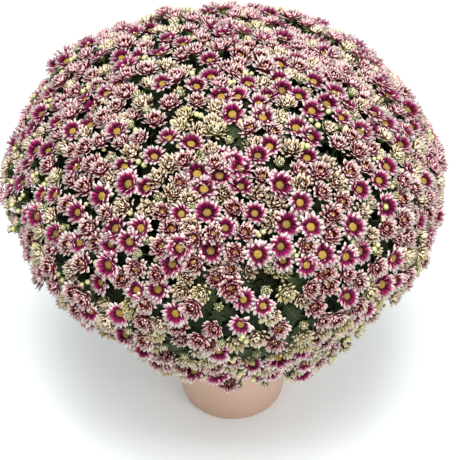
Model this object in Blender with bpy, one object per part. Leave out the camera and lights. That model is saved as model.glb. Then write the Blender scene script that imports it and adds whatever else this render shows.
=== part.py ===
# Pot chrysanthemum: a ball of blooms on leafy stems, standing in a plain tapered pot of soil.

import math
import random

import bmesh
import bpy
import numpy as np
from mathutils import Vector
from mathutils.bvhtree import BVHTree
from mathutils.geometry import delaunay_2d_cdt

for old in list(bpy.data.objects):
    bpy.data.objects.remove(old, do_unlink=True)

SEED = 11
GAP = 0.0003

# Pot: outside radii by height, wall and floor
POT_HEIGHT = 0.150
POT_FOOT_R = 0.0745
POT_BODY_TOP_R = 0.0945
POT_RIM_R = 0.1020
POT_RIM_LOW = 0.122
POT_WALL = 0.003
POT_SIDES = 32
DRAIN_R = 0.005
DRAIN_RING_R = 0.042
DRAINS = 4

# Soil
SOIL_TOP = 0.136
SOIL_CROWN = 0.140
HOLE_DEPTH = 0.024

# Ball of blooms: half section seen from the side, and the point its directions start from
GIRTH_R = 0.290
GIRTH_Z = 0.392
CROWN_RISE = 0.204
TAPER_Z = 0.080
TAPER_R = 0.084
TAPER_POWER = 1.18
HEART_Z = 0.330
SKIRT_ANGLE = math.radians(-51.0)

# The ball leans a little away from the pot's middle, between two heights
LEAN = (-0.010, -0.008)
LEAN_LOW = 0.16
LEAN_HIGH = 0.40

# Where the ball swells or falls in: direction from the heart, height, spread in radians
SWELLS = (
    ((-0.62, 0.35, 0.70), 0.016, 0.34),
    ((0.80, -0.30, -0.52), 0.014, 0.22),
    ((-0.76, -0.35, -0.54), -0.023, 0.34),
    ((-0.98, -0.12, 0.16), 0.007, 0.20),
)

# Sprays
SPRAYS = 18
BLOOMS = 398
BUDS = 78
CORE_DEPTH = 0.021
CORE_THICK = 0.0045
CHANNEL = 0.0035
BLOOM_R = 0.0245
LEVELS = (0.000, 0.004, 0.008, 0.011)
PETALS = 5
ROOT_R = 0.0048
BUD_R = 0.0068

# Stems and leaves
STEM_R = 0.0042
STEM_TIP_R = 0.0030
STEM_SIDES = 4
SEAT_R = 0.0065
LEAF_THICK = 0.0016

HEART = Vector((0.0, 0.0, HEART_Z))
rng = random.Random(SEED)
draw = np.random.RandomState(SEED)


def material(name, colour, rough):
    mat = bpy.data.materials.new(name)
    mat.use_nodes = True
    shader = mat.node_tree.nodes["Principled BSDF"]
    shader.inputs["Base Color"].default_value = (*colour, 1.0)
    shader.inputs["Roughness"].default_value = rough
    return mat


def add_object(name, bm, mat, smooth=False):
    bmesh.ops.recalc_face_normals(bm, faces=bm.faces)
    mesh = bpy.data.meshes.new(name)
    bm.to_mesh(mesh)
    bm.free()
    mesh.materials.append(mat)
    for face in mesh.polygons:
        face.use_smooth = smooth
    obj = bpy.data.objects.new(name, mesh)
    bpy.context.scene.collection.objects.link(obj)
    return obj


def mesh_object(name, verts, faces, mat, smooth=False):
    bm = bmesh.new()
    made = [bm.verts.new(v) for v in verts]
    for face in faces:
        bm.faces.new([made[i] for i in face])
    return add_object(name, bm, mat, smooth)


def lathe(name, profile, sides, mat):
    # turned body; a profile point on the axis closes an end
    verts, faces, rings = [], [], []
    for radius, height in profile:
        if radius < 1e-6:
            rings.append([len(verts)])
            verts.append((0.0, 0.0, height))
            continue
        ring = []
        for k in range(sides):
            turn = 2 * math.pi * (k + 0.5) / sides
            ring.append(len(verts))
            verts.append((radius * math.cos(turn), radius * math.sin(turn), height))
        rings.append(ring)
    for low, high in zip(rings[:-1], rings[1:]):
        for k in range(sides):
            nxt = (k + 1) % sides
            if len(low) == 1:
                faces.append((low[0], high[nxt], high[k]))
            elif len(high) == 1:
                faces.append((low[k], low[nxt], high[0]))
            else:
                faces.append((low[k], low[nxt], high[nxt], high[k]))
    return mesh_object(name, verts, faces, mat, True)


def closed(mesh):
    bm = bmesh.new()
    bm.from_mesh(mesh)
    good = all(edge.is_manifold for edge in bm.edges)
    bm.free()
    return good


def boolean(target, cutters, operation):
    # joins or cuts with every object of the list at once, then drops them
    group = bpy.data.collections.new("cutters")
    bpy.context.scene.collection.children.link(group)
    for cutter in cutters:
        bpy.context.scene.collection.objects.unlink(cutter)
        group.objects.link(cutter)
    mod = target.modifiers.new("join", "BOOLEAN")
    mod.operation = operation
    mod.operand_type = "COLLECTION"
    mod.collection = group
    for solver in ("EXACT", "MANIFOLD"):
        mod.solver = solver
        graph = bpy.context.evaluated_depsgraph_get()
        result = bpy.data.meshes.new_from_object(target.evaluated_get(graph))
        if closed(result):
            break
        print(target.name, "is left open by the", solver, "join")
    old = target.data
    target.modifiers.remove(mod)
    target.data = result
    bpy.data.meshes.remove(old)
    for cutter in cutters:
        bpy.data.objects.remove(cutter, do_unlink=True)
    bpy.data.collections.remove(group)
    keep_largest(target)


def keep_largest(obj):
    # fills a sealed hollow and drops a loose scrap: only the largest skin stays
    bm = bmesh.new()
    bm.from_mesh(obj.data)
    left = set(bm.verts)
    skins = []
    while left:
        stack = [left.pop()]
        skin = set(stack)
        while stack:
            for edge in stack.pop().link_edges:
                for vert in edge.verts:
                    if vert in left:
                        left.discard(vert)
                        skin.add(vert)
                        stack.append(vert)
        skins.append(skin)
    skins.sort(key=len)
    for skin in skins[:-1]:
        print(obj.name, "loses a skin of", len(skin), "corners")
        bmesh.ops.delete(bm, geom=list(skin), context="VERTS")
    bm.to_mesh(obj.data)
    bm.free()


# Ball surface as a radius and a normal by elevation, seen from the heart
def ball_tables():
    points = []
    for k in range(121):
        t = math.pi / 2 * (1 - k / 120)
        points.append((GIRTH_R * math.cos(t), GIRTH_Z + CROWN_RISE * math.sin(t)))
    for k in range(1, 161):
        s = k / 160
        radius = TAPER_R + (GIRTH_R - TAPER_R) * (1 - s ** TAPER_POWER) ** (1 / TAPER_POWER)
        points.append((radius, GIRTH_Z - (GIRTH_Z - TAPER_Z) * s))
    curve = np.array(points[::-1])
    angle = np.arctan2(curve[:, 1] - HEART_Z, curve[:, 0])
    reach = np.hypot(curve[:, 0], curve[:, 1] - HEART_Z)
    grid = np.radians(np.linspace(-66.0, 90.0, 313))
    radii = np.interp(grid, angle, reach)
    full = np.concatenate([np.full(8, radii[0]), radii, radii[-2:-10:-1]])
    radii = np.convolve(full, np.ones(17) / 17, "valid")
    return grid, radii, np.gradient(radii, grid)


ANGLES, RADII, SLOPES = ball_tables()


def elevation(d):
    return math.asin(max(-1.0, min(1.0, d.z)))


def reach_of(d):
    return float(np.interp(elevation(d), ANGLES, RADII))


def normal_of(d):
    angle = elevation(d)
    radius = float(np.interp(angle, ANGLES, RADII))
    slope = float(np.interp(angle, ANGLES, SLOPES))
    flat = math.hypot(d.x, d.y)
    out = Vector((d.x / flat, d.y / flat, 0.0)) if flat > 1e-6 else Vector((1.0, 0.0, 0.0))
    side, rise = math.cos(angle), math.sin(angle)
    n_out = radius * side + slope * rise
    n_up = radius * rise - slope * side
    if flat <= 1e-6:
        return Vector((0.0, 0.0, 1.0))
    return (out * n_out + Vector((0.0, 0.0, n_up))).normalized()


def swell_of(d):
    total = 0.0
    for centre, height, spread in SWELLS:
        away = math.acos(max(-1.0, min(1.0, d.dot(Vector(centre).normalized()))))
        total += height * math.exp(-(away / spread) ** 2)
    return total


def surface(d, depth):
    # point of the ball's surface in direction d, sunk by depth along the normal
    d = d.normalized()
    tilt = max(0.6, d.dot(normal_of(d)))
    spot = HEART + d * (reach_of(d) + swell_of(d) - depth / tilt)
    share = max(0.0, min(1.0, (spot.z - LEAN_LOW) / (LEAN_HIGH - LEAN_LOW)))
    share *= share * (3 - 2 * share)
    return spot + Vector((LEAN[0] * share, LEAN[1] * share, 0.0))


def basis(d):
    side = Vector((0.0, 0.0, 1.0)).cross(d)
    if side.length < 1e-4:
        side = Vector((0.0, 1.0, 0.0))
    side.normalize()
    return side, d.cross(side).normalized()


# Points spread evenly over the ball's surface
def spread_points(count):
    grid = ANGLES[ANGLES > SKIRT_ANGLE]
    radius = np.interp(grid, ANGLES, RADII)
    slope = np.interp(grid, ANGLES, SLOPES)
    weight = radius * np.cos(grid) * np.hypot(radius, slope)
    total = np.concatenate([[0.0], np.cumsum((weight[1:] + weight[:-1]) / 2)])
    angle = np.interp(draw.rand(count) * total[-1], total, grid)
    turn = draw.rand(count) * 2 * math.pi
    dirs = np.stack([np.cos(angle) * np.cos(turn), np.cos(angle) * np.sin(turn), np.sin(angle)], 1)
    reach = np.interp(angle, ANGLES, RADII)
    return dirs, dirs * reach[:, None] + np.array(HEART)


def settle(points, starts, rounds):
    # moves the starting points to the middles of their own regions
    centres = starts.copy()
    for _ in range(rounds):
        nearest = np.argmin(((points[:, None, :] - centres[None, :, :]) ** 2).sum(2), axis=1)
        for k in range(len(centres)):
            own = points[nearest == k]
            if len(own):
                centres[k] = own.mean(0)
    return centres


DIRS, POINTS = spread_points(24000)
starts = POINTS[draw.choice(len(POINTS), SPRAYS, replace=False)]
centres = settle(POINTS[:6000], starts, 60)
CENTRES = [(Vector(c) - HEART).normalized() for c in centres]
CENTRES.sort(key=lambda c: -c.z)


def clip(poly, keep, tag):
    # part of a tagged polygon where keep(x, y) is positive
    result = []
    for k, (x, y, edge) in enumerate(poly):
        nx, ny, _ = poly[(k + 1) % len(poly)]
        here, there = keep(x, y), keep(nx, ny)
        share = here / (here - there) if here != there else 0.0
        cross = (x + (nx - x) * share, y + (ny - y) * share)
        if here >= 0:
            result.append((x, y, edge))
            if there < 0:
                result.append((*cross, tag))
        elif there >= 0:
            result.append((*cross, edge))
    return result


def cell(index):
    # outline of one spray's part of the ball on the plane that touches its direction,
    # with its corners cut off so that leaves can come through
    centre = CENTRES[index]
    e1, e2 = basis(centre)
    poly = [(-1.5, -1.5, -2), (1.5, -1.5, -2), (1.5, 1.5, -2), (-1.5, 1.5, -2)]
    half = CHANNEL / 2 / 0.25
    for other, c in enumerate(CENTRES):
        if other == index:
            continue
        n = (centre - c).normalized()
        poly = clip(poly, lambda x, y: n.dot(centre + e1 * x + e2 * y) - half, other)
    turn = math.atan2(centre.y, centre.x)
    steep = math.tan(-SKIRT_ANGLE)
    m = Vector((steep * math.cos(turn), steep * math.sin(turn), 1.0)).normalized()
    poly = clip(poly, lambda x, y: m.dot(centre + e1 * x + e2 * y), -1)
    return poly, e1, e2


def corner_cut(poly, amounts):
    result = []
    count = len(poly)
    for k in range(count):
        x, y, edge = poly[k]
        px, py, _ = poly[k - 1]
        nx, ny, _ = poly[(k + 1) % count]
        amount = amounts[k]
        for qx, qy in ((px, py), (nx, ny)):
            length = math.hypot(qx - x, qy - y)
            share = min(0.36, amount / max(length, 1e-6))
            result.append((x + (qx - x) * share, y + (qy - y) * share))
    return result


def split_edges(poly, longest):
    result = []
    for k, (x, y) in enumerate(poly):
        nx, ny = poly[(k + 1) % len(poly)]
        parts = max(1, math.ceil(math.hypot(nx - x, ny - y) / longest))
        for j in range(parts):
            result.append((x + (nx - x) * j / parts, y + (ny - y) * j / parts))
    return result


def inside(poly, x, y, margin=0.0):
    for k, (ax, ay) in enumerate(poly):
        bx, by = poly[(k + 1) % len(poly)]
        length = math.hypot(bx - ax, by - ay)
        if ((bx - ax) * (y - ay) - (by - ay) * (x - ax)) / length < margin:
            return False
    return True


class Spray:
    # one patch of the ball: its outline, frame, blooms and buds
    def __init__(self, index):
        self.index = index
        self.centre = CENTRES[index]
        tagged, self.e1, self.e2 = cell(index)
        self.corners = []
        amounts = []
        for k, (x, y, edge) in enumerate(tagged):
            before = tagged[k - 1][2]
            skirt = -1 in (before, edge)
            amounts.append(0.045 if skirt else 0.085)
            self.corners.append((frozenset((index, before, edge)), skirt))
        self.outline = split_edges(corner_cut(tagged, amounts), 0.26)
        self.blooms = []
        self.buds = []

    def direction(self, x, y):
        return (self.centre + self.e1 * x + self.e2 * y).normalized()

    def flat(self, d):
        d = d / d.dot(self.centre)
        return d.dot(self.e1), d.dot(self.e2)


SPRAY_LIST = [Spray(k) for k in range(SPRAYS)]


def sort_samples():
    # every surface sample goes to the spray whose outline holds it
    groups = [[] for _ in SPRAY_LIST]
    table = np.array([tuple(c) for c in CENTRES])
    nearest = np.argmax(DIRS @ table.T, axis=1)
    for k, d in enumerate(DIRS):
        spray = SPRAY_LIST[nearest[k]]
        x, y = spray.flat(Vector(d))
        if inside(spray.outline, x, y):
            groups[nearest[k]].append(k)
    return groups


SAMPLES = sort_samples()
TOTAL = sum(len(g) for g in SAMPLES)


def disc_tree(verts, faces):
    return BVHTree.FromPolygons([tuple(v) for v in verts], faces, epsilon=0.0)


def bloom_shape(spray, x, y, level, radius, phase, cup):
    # root triangle on the patch, flared side, rim of tips and notches, raised middle
    d = spray.direction(x, y)
    foot = surface(d, CORE_DEPTH)
    middle = surface(d, level)
    n = normal_of(d)
    axis = (n + Vector((0.0, 0.0, 1.0)) * (0.35 * max(0.0, -n.z) + 0.10)).normalized()
    middle = foot + (middle - foot).length * (n * 0.7 + axis * 0.3).normalized()
    roots = []
    size = ROOT_R / reach_of(d) * (1 + x * x + y * y)
    for k in range(3):
        turn = phase + 2 * math.pi * k / 3
        roots.append((x + size * math.cos(turn), y + size * math.sin(turn)))
    root_points = [surface(spray.direction(*r), CORE_DEPTH) for r in roots]
    u = root_points[0] - foot
    u = (u - axis * u.dot(axis)).normalized()
    v = axis.cross(u)
    rim = []
    for k in range(2 * PETALS):
        turn = math.pi * k / PETALS
        tip = k % 2 == 0
        far = radius * (1.0 if tip else 0.60)
        lift = cup * (1.0 if tip else 0.35)
        rim.append(middle + (u * math.cos(turn) + v * math.sin(turn)) * far + axis * lift)
    top = middle + axis * (0.0022 if cup < 0.005 else -0.001)
    verts = root_points + rim + [top]
    faces = []
    i, j = 0, 0
    count = 2 * PETALS
    while i < 3 or j < count:
        step_root = (i + 1) / 3 if i < 3 else 9.0
        step_rim = (j + 1) / count if j < count else 9.0
        if step_root - 0.02 < step_rim:
            faces.append((i % 3, (i + 1) % 3, 3 + j % count))
            i += 1
        else:
            faces.append((i % 3, 3 + (j + 1) % count, 3 + j % count))
            j += 1
    for k in range(count):
        faces.append((3 + k, 3 + (k + 1) % count, 3 + count))
    return roots, verts, faces


def bud_shape(spray, x, y, radius, phase, height):
    d = spray.direction(x, y)
    foot = surface(d, CORE_DEPTH)
    axis = (normal_of(d) + Vector((0.0, 0.0, 0.2))).normalized()
    size = ROOT_R * 0.8 / reach_of(d) * (1 + x * x + y * y)
    roots = []
    for k in range(3):
        turn = phase + 2 * math.pi * k / 3
        roots.append((x + size * math.cos(turn), y + size * math.sin(turn)))
    root_points = [surface(spray.direction(*r), CORE_DEPTH) for r in roots]
    u = root_points[0] - foot
    u = (u - axis * u.dot(axis)).normalized()
    v = axis.cross(u)
    ring = []
    for k in range(4):
        turn = math.pi * k / 2
        ring.append(foot + axis * height * 0.62 + (u * math.cos(turn) + v * math.sin(turn)) * radius)
    verts = root_points + ring + [foot + axis * height]
    faces = [(0, 1, 4), (0, 4, 3), (1, 5, 4), (1, 2, 5), (2, 6, 5), (2, 0, 6), (0, 3, 6)]
    for k in range(4):
        faces.append((3 + k, 3 + (k + 1) % 4, 7))
    return roots, verts, faces


def swollen(verts, amount):
    middle = Vector((0.0, 0.0, 0.0))
    for v in verts:
        middle += v
    middle /= len(verts)
    return [v + (v - middle).normalized() * amount for v in verts]


PLACED = []


def clear_of_others(verts, faces, centre, span):
    trees = [disc_tree(verts, faces), disc_tree(swollen(verts, 0.0005), faces)]
    for other_centre, other_span, other_tree in PLACED:
        if (other_centre - centre).length < span + other_span:
            if any(tree.overlap(other_tree) for tree in trees):
                return None
    return trees[0]


def place_blooms():
    # stars at the middles of even regions, each on a level its neighbours don't use
    sites = []
    for spray, own in zip(SPRAY_LIST, SAMPLES):
        count = max(1, round(BLOOMS * len(own) / TOTAL))
        points = POINTS[own]
        starts = points[draw.choice(len(points), count, replace=False)]
        for spot in settle(points, starts, 40):
            sites.append((spray, (Vector(spot) - HEART).normalized()))
    spots = [surface(d, 0.0) for _, d in sites]
    levels = {}
    order = list(range(len(sites)))
    rng.shuffle(order)
    for k in order:
        spray, d = sites[k]
        near = [j for j in levels if (spots[j] - spots[k]).length < 0.062]
        used = [levels[j] for j in near]
        best = min(range(len(LEVELS)), key=lambda v: (used.count(v), rng.random()))
        levels[k] = best
        x, y = spray.flat(d)
        half_open = rng.random() < 0.34
        base = BLOOM_R * rng.uniform(0.92, 1.04) * (0.80 if half_open else 1.0)
        cup = 0.0085 if half_open else rng.uniform(0.001, 0.004)
        level = LEVELS[best] + (0.004 if half_open else 0.0)
        done = False
        for shrink in (1.0, 0.94, 0.88, 0.80, 0.70, 0.60):
            for turn in range(6):
                phase = rng.random() * 2 * math.pi
                shape = bloom_shape(spray, x, y, level, base * shrink, phase, cup)
                tree = clear_of_others(shape[1], shape[2], spots[k], 0.03)
                if tree and all(inside(spray.outline, *r, 0.008) for r in shape[0]):
                    PLACED.append((spots[k], 0.03, tree))
                    spray.blooms.append(shape)
                    done = True
                    break
            if done:
                break
        if not done:
            print("bloom left out", spray.index)
    return spots


def place_buds(spots):
    # small closed buds in the widest spaces between the stars
    centres = np.array([tuple(s) for s in spots])
    skin = np.array([tuple(surface(Vector(d), 0.0)) for d in DIRS])
    for spray, own in zip(SPRAY_LIST, SAMPLES):
        want = max(1, round(BUDS * len(own) / TOTAL))
        points = skin[own]
        gaps = np.sqrt(((points[:, None, :] - centres[None, :, :]) ** 2).sum(2)).min(1)
        for k in np.argsort(-gaps)[:240]:
            if len(spray.buds) >= want:
                break
            d = Vector(DIRS[own[k]])
            spot = surface(d, 0.0)
            if any((spot - other).length < 0.030 for other in spray.bud_spots):
                continue
            x, y = spray.flat(d)
            height = CORE_DEPTH - rng.uniform(0.001, 0.005)
            for radius in (BUD_R, BUD_R * 0.85, BUD_R * 0.7):
                shape = bud_shape(spray, x, y, radius, rng.random() * 6.28, height)
                tree = clear_of_others(shape[1], shape[2], spot, 0.015)
                if tree and all(inside(spray.outline, *r, 0.008) for r in shape[0]):
                    PLACED.append((spot, 0.015, tree))
                    spray.buds.append(shape)
                    spray.bud_spots.append(spot)
                    break


for spray in SPRAY_LIST:
    spray.bud_spots = []
bloom_spots = place_blooms()
place_buds(bloom_spots)
print("blooms", sum(len(s.blooms) for s in SPRAY_LIST), "buds", sum(len(s.buds) for s in SPRAY_LIST))


def patch_object(spray, mat):
    # thin curved patch with the stars and buds standing out of it, one closed skin
    flat, verts, faces, fixed_edges, groups = [], [], [], [], []
    edge_count = len(spray.outline)
    for x, y in spray.outline:
        flat.append((x, y))
        verts.append(surface(spray.direction(x, y), CORE_DEPTH))
    fixed_edges += [(k, (k + 1) % edge_count) for k in range(edge_count)]
    shapes = spray.blooms + spray.buds
    for roots, _, _ in shapes:
        start = len(flat)
        flat += roots
        fixed_edges += [(start, start + 1), (start + 1, start + 2), (start + 2, start)]
        groups.append({start, start + 1, start + 2})
    for roots, points, _ in shapes:
        verts += points[:3]
    coords = [Vector(p) for p in flat]
    result = delaunay_2d_cdt(coords, fixed_edges, [list(range(edge_count))], 1, 1e-7)
    if len(result[0]) != len(coords):
        print("patch", spray.index, "outline touches itself")
    source = [orig[0] for orig in result[3]]
    for face in result[2]:
        ids = [source[k] for k in face]
        if set(ids) in groups:
            continue
        faces.append(ids)
    for number, (roots, points, shape_faces) in enumerate(shapes):
        start = edge_count + 3 * number
        extra = len(verts)
        verts += points[3:]
        for face in shape_faces:
            faces.append([start + k if k < 3 else extra + k - 3 for k in face])
    low = len(verts)
    low_flat = list(spray.outline)
    for x, y in spray.outline:
        verts.append(surface(spray.direction(x, y), CORE_DEPTH + CORE_THICK))
    for k in range(edge_count):
        nxt = (k + 1) % edge_count
        faces.append((k, nxt, low + nxt, low + k))
    seat_ring, seat = [], surface(spray.centre, CORE_DEPTH + CORE_THICK)
    n = normal_of(spray.centre)
    spray.seat, spray.seat_normal = seat, n
    side = (spray.e1 - n * n.dot(spray.e1)).normalized()
    other = n.cross(side)
    for k in range(5):
        turn = 2 * math.pi * k / 5
        spot = seat + (side * math.cos(turn) + other * math.sin(turn)) * SEAT_R
        low_flat.append(spray.flat((spray.centre * reach_of(spray.centre) + spot - seat).normalized()))
        verts.append(spot)
    for k in range(5):
        turn = 2 * math.pi * (k + 0.5) / 5
        for far in (0.5,):
            reach = 1.0
            while not inside(spray.outline, reach * math.cos(turn), reach * math.sin(turn), 0.0):
                reach *= 0.95
            x, y = reach * far * math.cos(turn), reach * far * math.sin(turn)
            low_flat.append((x, y))
            verts.append(surface(spray.direction(x, y), CORE_DEPTH + CORE_THICK))
    seat_edges = [(edge_count + k, edge_count + (k + 1) % 5) for k in range(5)]
    ring_edges = [(k, (k + 1) % edge_count) for k in range(edge_count)]
    result = delaunay_2d_cdt([Vector(p) for p in low_flat], ring_edges + seat_edges,
                             [list(range(edge_count))], 1, 1e-7)
    source = [orig[0] for orig in result[3]]
    for face in result[2]:
        faces.append([low + source[k] for k in face])
    name = "blooms_%02d" % (spray.index + 1)
    return mesh_object(name, verts, faces, mat)


POT_MAT = material("pot plastic", (0.55, 0.32, 0.24), 0.5)
SOIL_MAT = material("soil", (0.045, 0.030, 0.020), 0.95)
GREEN_MAT = material("leaf green", (0.060, 0.095, 0.035), 0.6)
BLOOM_MAT = material("petals", (0.50, 0.20, 0.25), 0.7)

for spray in SPRAY_LIST:
    spray.object = patch_object(spray, BLOOM_MAT)


# Pot with a rim band, and small drain holes beside the middle of its flat underside
def make_pot():
    wall, foot = POT_WALL, POT_FOOT_R
    body_in = POT_BODY_TOP_R - wall
    profile = [
        (0.0, 0.0), (foot - 0.003, 0.0), (foot, 0.003), (POT_BODY_TOP_R, POT_RIM_LOW),
        (POT_RIM_R - 0.0015, POT_RIM_LOW + 0.002), (POT_RIM_R, POT_HEIGHT - 0.003),
        (POT_RIM_R - 0.0015, POT_HEIGHT), (POT_RIM_R - 0.0045, POT_HEIGHT - 0.0008),
        (body_in, POT_RIM_LOW), (foot - wall, wall), (0.0, wall),
    ]
    pot = lathe("pot", profile, POT_SIDES, POT_MAT)
    drains = []
    for k in range(DRAINS):
        turn = 2 * math.pi * (k + 0.5) / DRAINS
        x, y = DRAIN_RING_R * math.cos(turn), DRAIN_RING_R * math.sin(turn)
        verts, faces = [], []
        for z in (-0.004, 0.008):
            for j in range(8):
                a = 2 * math.pi * j / 8
                verts.append((x + DRAIN_R * math.cos(a), y + DRAIN_R * math.sin(a), z))
        faces += [tuple(range(7, -1, -1)), tuple(range(8, 16))]
        faces += [(j, (j + 1) % 8, 8 + (j + 1) % 8, 8 + j) for j in range(8)]
        cutter = mesh_object("drain", verts, faces, POT_MAT)
        cutter.display_type = "WIRE"
        cutter.hide_render = True
        drains.append(cutter)
    boolean(pot, drains, "DIFFERENCE")
    return pot


POT = make_pot()


# Stems: each stands in its own hole and bends out under the seat of its spray
def stem_line(spray):
    d = spray.centre
    polar = math.acos(max(-1.0, min(1.0, d.z)))
    out = Vector((d.x, d.y, 0.0))
    out = out.normalized() if out.length > 1e-6 else Vector((1.0, 0.0, 0.0))
    ring = 0.060 * min(1.0, polar / math.radians(115)) ** 0.9
    base = out * ring
    end = spray.seat - spray.seat_normal * GAP
    start = Vector((base.x, base.y, SOIL_TOP - HOLE_DEPTH + 0.001))
    rise = Vector((base.x, base.y, SOIL_TOP + 0.020)) + out * 0.004
    span = (end - rise).length
    bend = rise + Vector((0.0, 0.0, 0.42 * span)) + out * 0.10 * span
    hold = end - spray.seat_normal * (0.30 * span)
    return start, rise, bend, hold, end


def bezier(a, b, c, d, t):
    s = 1 - t
    return a * s ** 3 + b * (3 * s * s * t) + c * (3 * s * t * t) + d * t ** 3


def tube(points, radii, sides, end_normal):
    # rings square to the path; the last ring lies flat under the seat
    verts, faces = [], []
    side = Vector((1.0, 0.0, 0.0))
    for k, point in enumerate(points):
        if k == 0:
            along = Vector((0.0, 0.0, 1.0))
        elif k == len(points) - 1:
            along = end_normal
        else:
            along = (points[k + 1] - points[k - 1]).normalized()
        side = (side - along * side.dot(along)).normalized()
        other = along.cross(side)
        for j in range(sides):
            turn = 2 * math.pi * (j + 0.5) / sides
            verts.append(point + (side * math.cos(turn) + other * math.sin(turn)) * radii[k])
    last = (len(points) - 1) * sides
    for k in range(len(points) - 1):
        for j in range(sides):
            nxt = (j + 1) % sides
            a = k * sides
            faces.append((a + j, a + nxt, a + sides + nxt))
            faces.append((a + j, a + sides + nxt, a + sides + j))
    faces.append(tuple(range(sides - 1, -1, -1)))
    faces.append(tuple(last + j for j in range(sides)))
    return verts, faces


LEAF_OUTLINE = [(0.08, 0.12), (0.24, 0.33), (0.38, 0.19), (0.58, 0.34), (0.76, 0.19), (1.0, 0.0)]


def leaf_shape(stem_point, knee, base, along, face, size):
    # leaf stalk of three sides that widens into a lobed blade folded along its midrib
    across = along.cross(face).normalized()
    verts, faces = [], []
    down = (knee - stem_point).normalized()
    side = (across - down * across.dot(down)).normalized()
    lift = side.cross(down).normalized()
    stalk = 0.0016
    for point, wide in ((stem_point, stalk), (knee, stalk)):
        verts += [point - side * wide, point + side * wide, point - lift * wide * 1.3]
    verts += [base - across * stalk, base + across * stalk, base - face * stalk * 1.2]
    for k in (0, 3):
        for j in range(3):
            nxt = (j + 1) % 3
            faces.append((k + j, k + nxt, k + 3 + nxt))
            faces.append((k + j, k + 3 + nxt, k + 3 + j))
    faces.append((0, 2, 1))
    left, right = [6], [7]
    for share, wide in LEAF_OUTLINE[:-1]:
        droop = face * (0.10 * size * (wide - 0.5 * share * share))
        left.append(len(verts))
        verts.append(base + along * size * share - across * size * wide + droop)
        right.append(len(verts))
        verts.append(base + along * size * share + across * size * wide + droop)
    tip = len(verts)
    verts.append(base + along * size - face * 0.05 * size)
    top = len(verts)
    verts.append(base + along * size * 0.40 - face * (0.012 * size) + face * LEAF_THICK * 0.2)
    bottom = len(verts)
    verts.append(base + along * size * 0.40 - face * (0.012 * size + LEAF_THICK))
    rim = left + [tip] + right[::-1]
    for a, b in zip(rim, rim[1:]):
        faces.append((a, b, top))
        faces.append((b, a, bottom))
    faces.append((7, 6, top))
    faces.append((6, 8, bottom))
    faces.append((8, 7, bottom))
    return verts, faces


# every corner where three sprays meet, and every corner of the skirt, takes leaves
def find_windows():
    seen = {}
    for spray in SPRAY_LIST:
        for key, skirt in spray.corners:
            seen.setdefault(key, skirt)
    windows = []
    for key, skirt in sorted(seen.items(), key=lambda item: sorted(item[0])):
        members = sorted(m for m in key if m >= 0)
        if -2 in key or len(members) < 2:
            continue
        if len(members) == 3:
            a, b, c = (CENTRES[m] for m in members)
            d = (a - b).cross(a - c).normalized()
            if d.dot(a) < 0:
                d = -d
        else:
            a, b = (CENTRES[m] for m in members)
            n = (a - b).normalized()
            mid = (a + b).normalized()
            turn = math.atan2(mid.y, mid.x)
            low = SKIRT_ANGLE
            d = Vector((math.cos(low) * math.cos(turn), math.cos(low) * math.sin(turn), math.sin(low)))
            d = (d - n * d.dot(n)).normalized()
        windows.append((members, d, skirt))
    return windows


def path_point(path, t):
    place = t * (len(path) - 1)
    k = min(int(place), len(path) - 2)
    return path[k].lerp(path[k + 1], place - k)


PATHS = {}
for spray in SPRAY_LIST:
    start, rise, bend, hold, end = stem_line(spray)
    line = [start] + [bezier(rise, bend, hold, end, t) for t in (0.0, 0.34, 0.70, 1.0)]
    PATHS[spray.index] = line

def object_tree(obj):
    faces = [tuple(face.vertices) for face in obj.data.polygons]
    return disc_tree([v.co for v in obj.data.vertices], faces)


PATCH_TREES = [object_tree(spray.object) for spray in SPRAY_LIST]
POT_TREE = object_tree(POT)
LEAF_TREES = []


def crosses_itself(verts, faces):
    tree = disc_tree(verts, faces)
    for a, b in tree.overlap(tree):
        if a < b and not set(faces[a]) & set(faces[b]):
            return True
    return False


def leaf_fits(verts, faces, owner):
    others = [POT_TREE] + PATCH_TREES + LEAF_TREES + [t for k, t in STEM_TREES.items() if k != owner]
    for points in (verts, swollen(verts, 0.0006)):
        tree = disc_tree(points, faces)
        if any(tree.overlap(other) for other in others):
            return False
    return not crosses_itself(verts, faces)


STEM_TREES = {}
STEM_SHAPES = {}
for spray in SPRAY_LIST:
    line = PATHS[spray.index]
    radii = [STEM_R, STEM_R, STEM_R * 0.92, STEM_R * 0.82, STEM_TIP_R]
    shape = tube(line, radii, STEM_SIDES, spray.seat_normal)
    STEM_SHAPES[spray.index] = shape
    STEM_TREES[spray.index] = disc_tree(shape[0], shape[1])

for a in STEM_TREES:
    for b in STEM_TREES:
        if a < b and STEM_TREES[a].overlap(STEM_TREES[b]):
            print("stems cross", a + 1, b + 1)
    for b, tree in enumerate(PATCH_TREES):
        if STEM_TREES[a].overlap(tree):
            print("stem", a + 1, "meets blooms", b + 1)

LEAVES = {k: [] for k in range(SPRAYS)}


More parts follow.
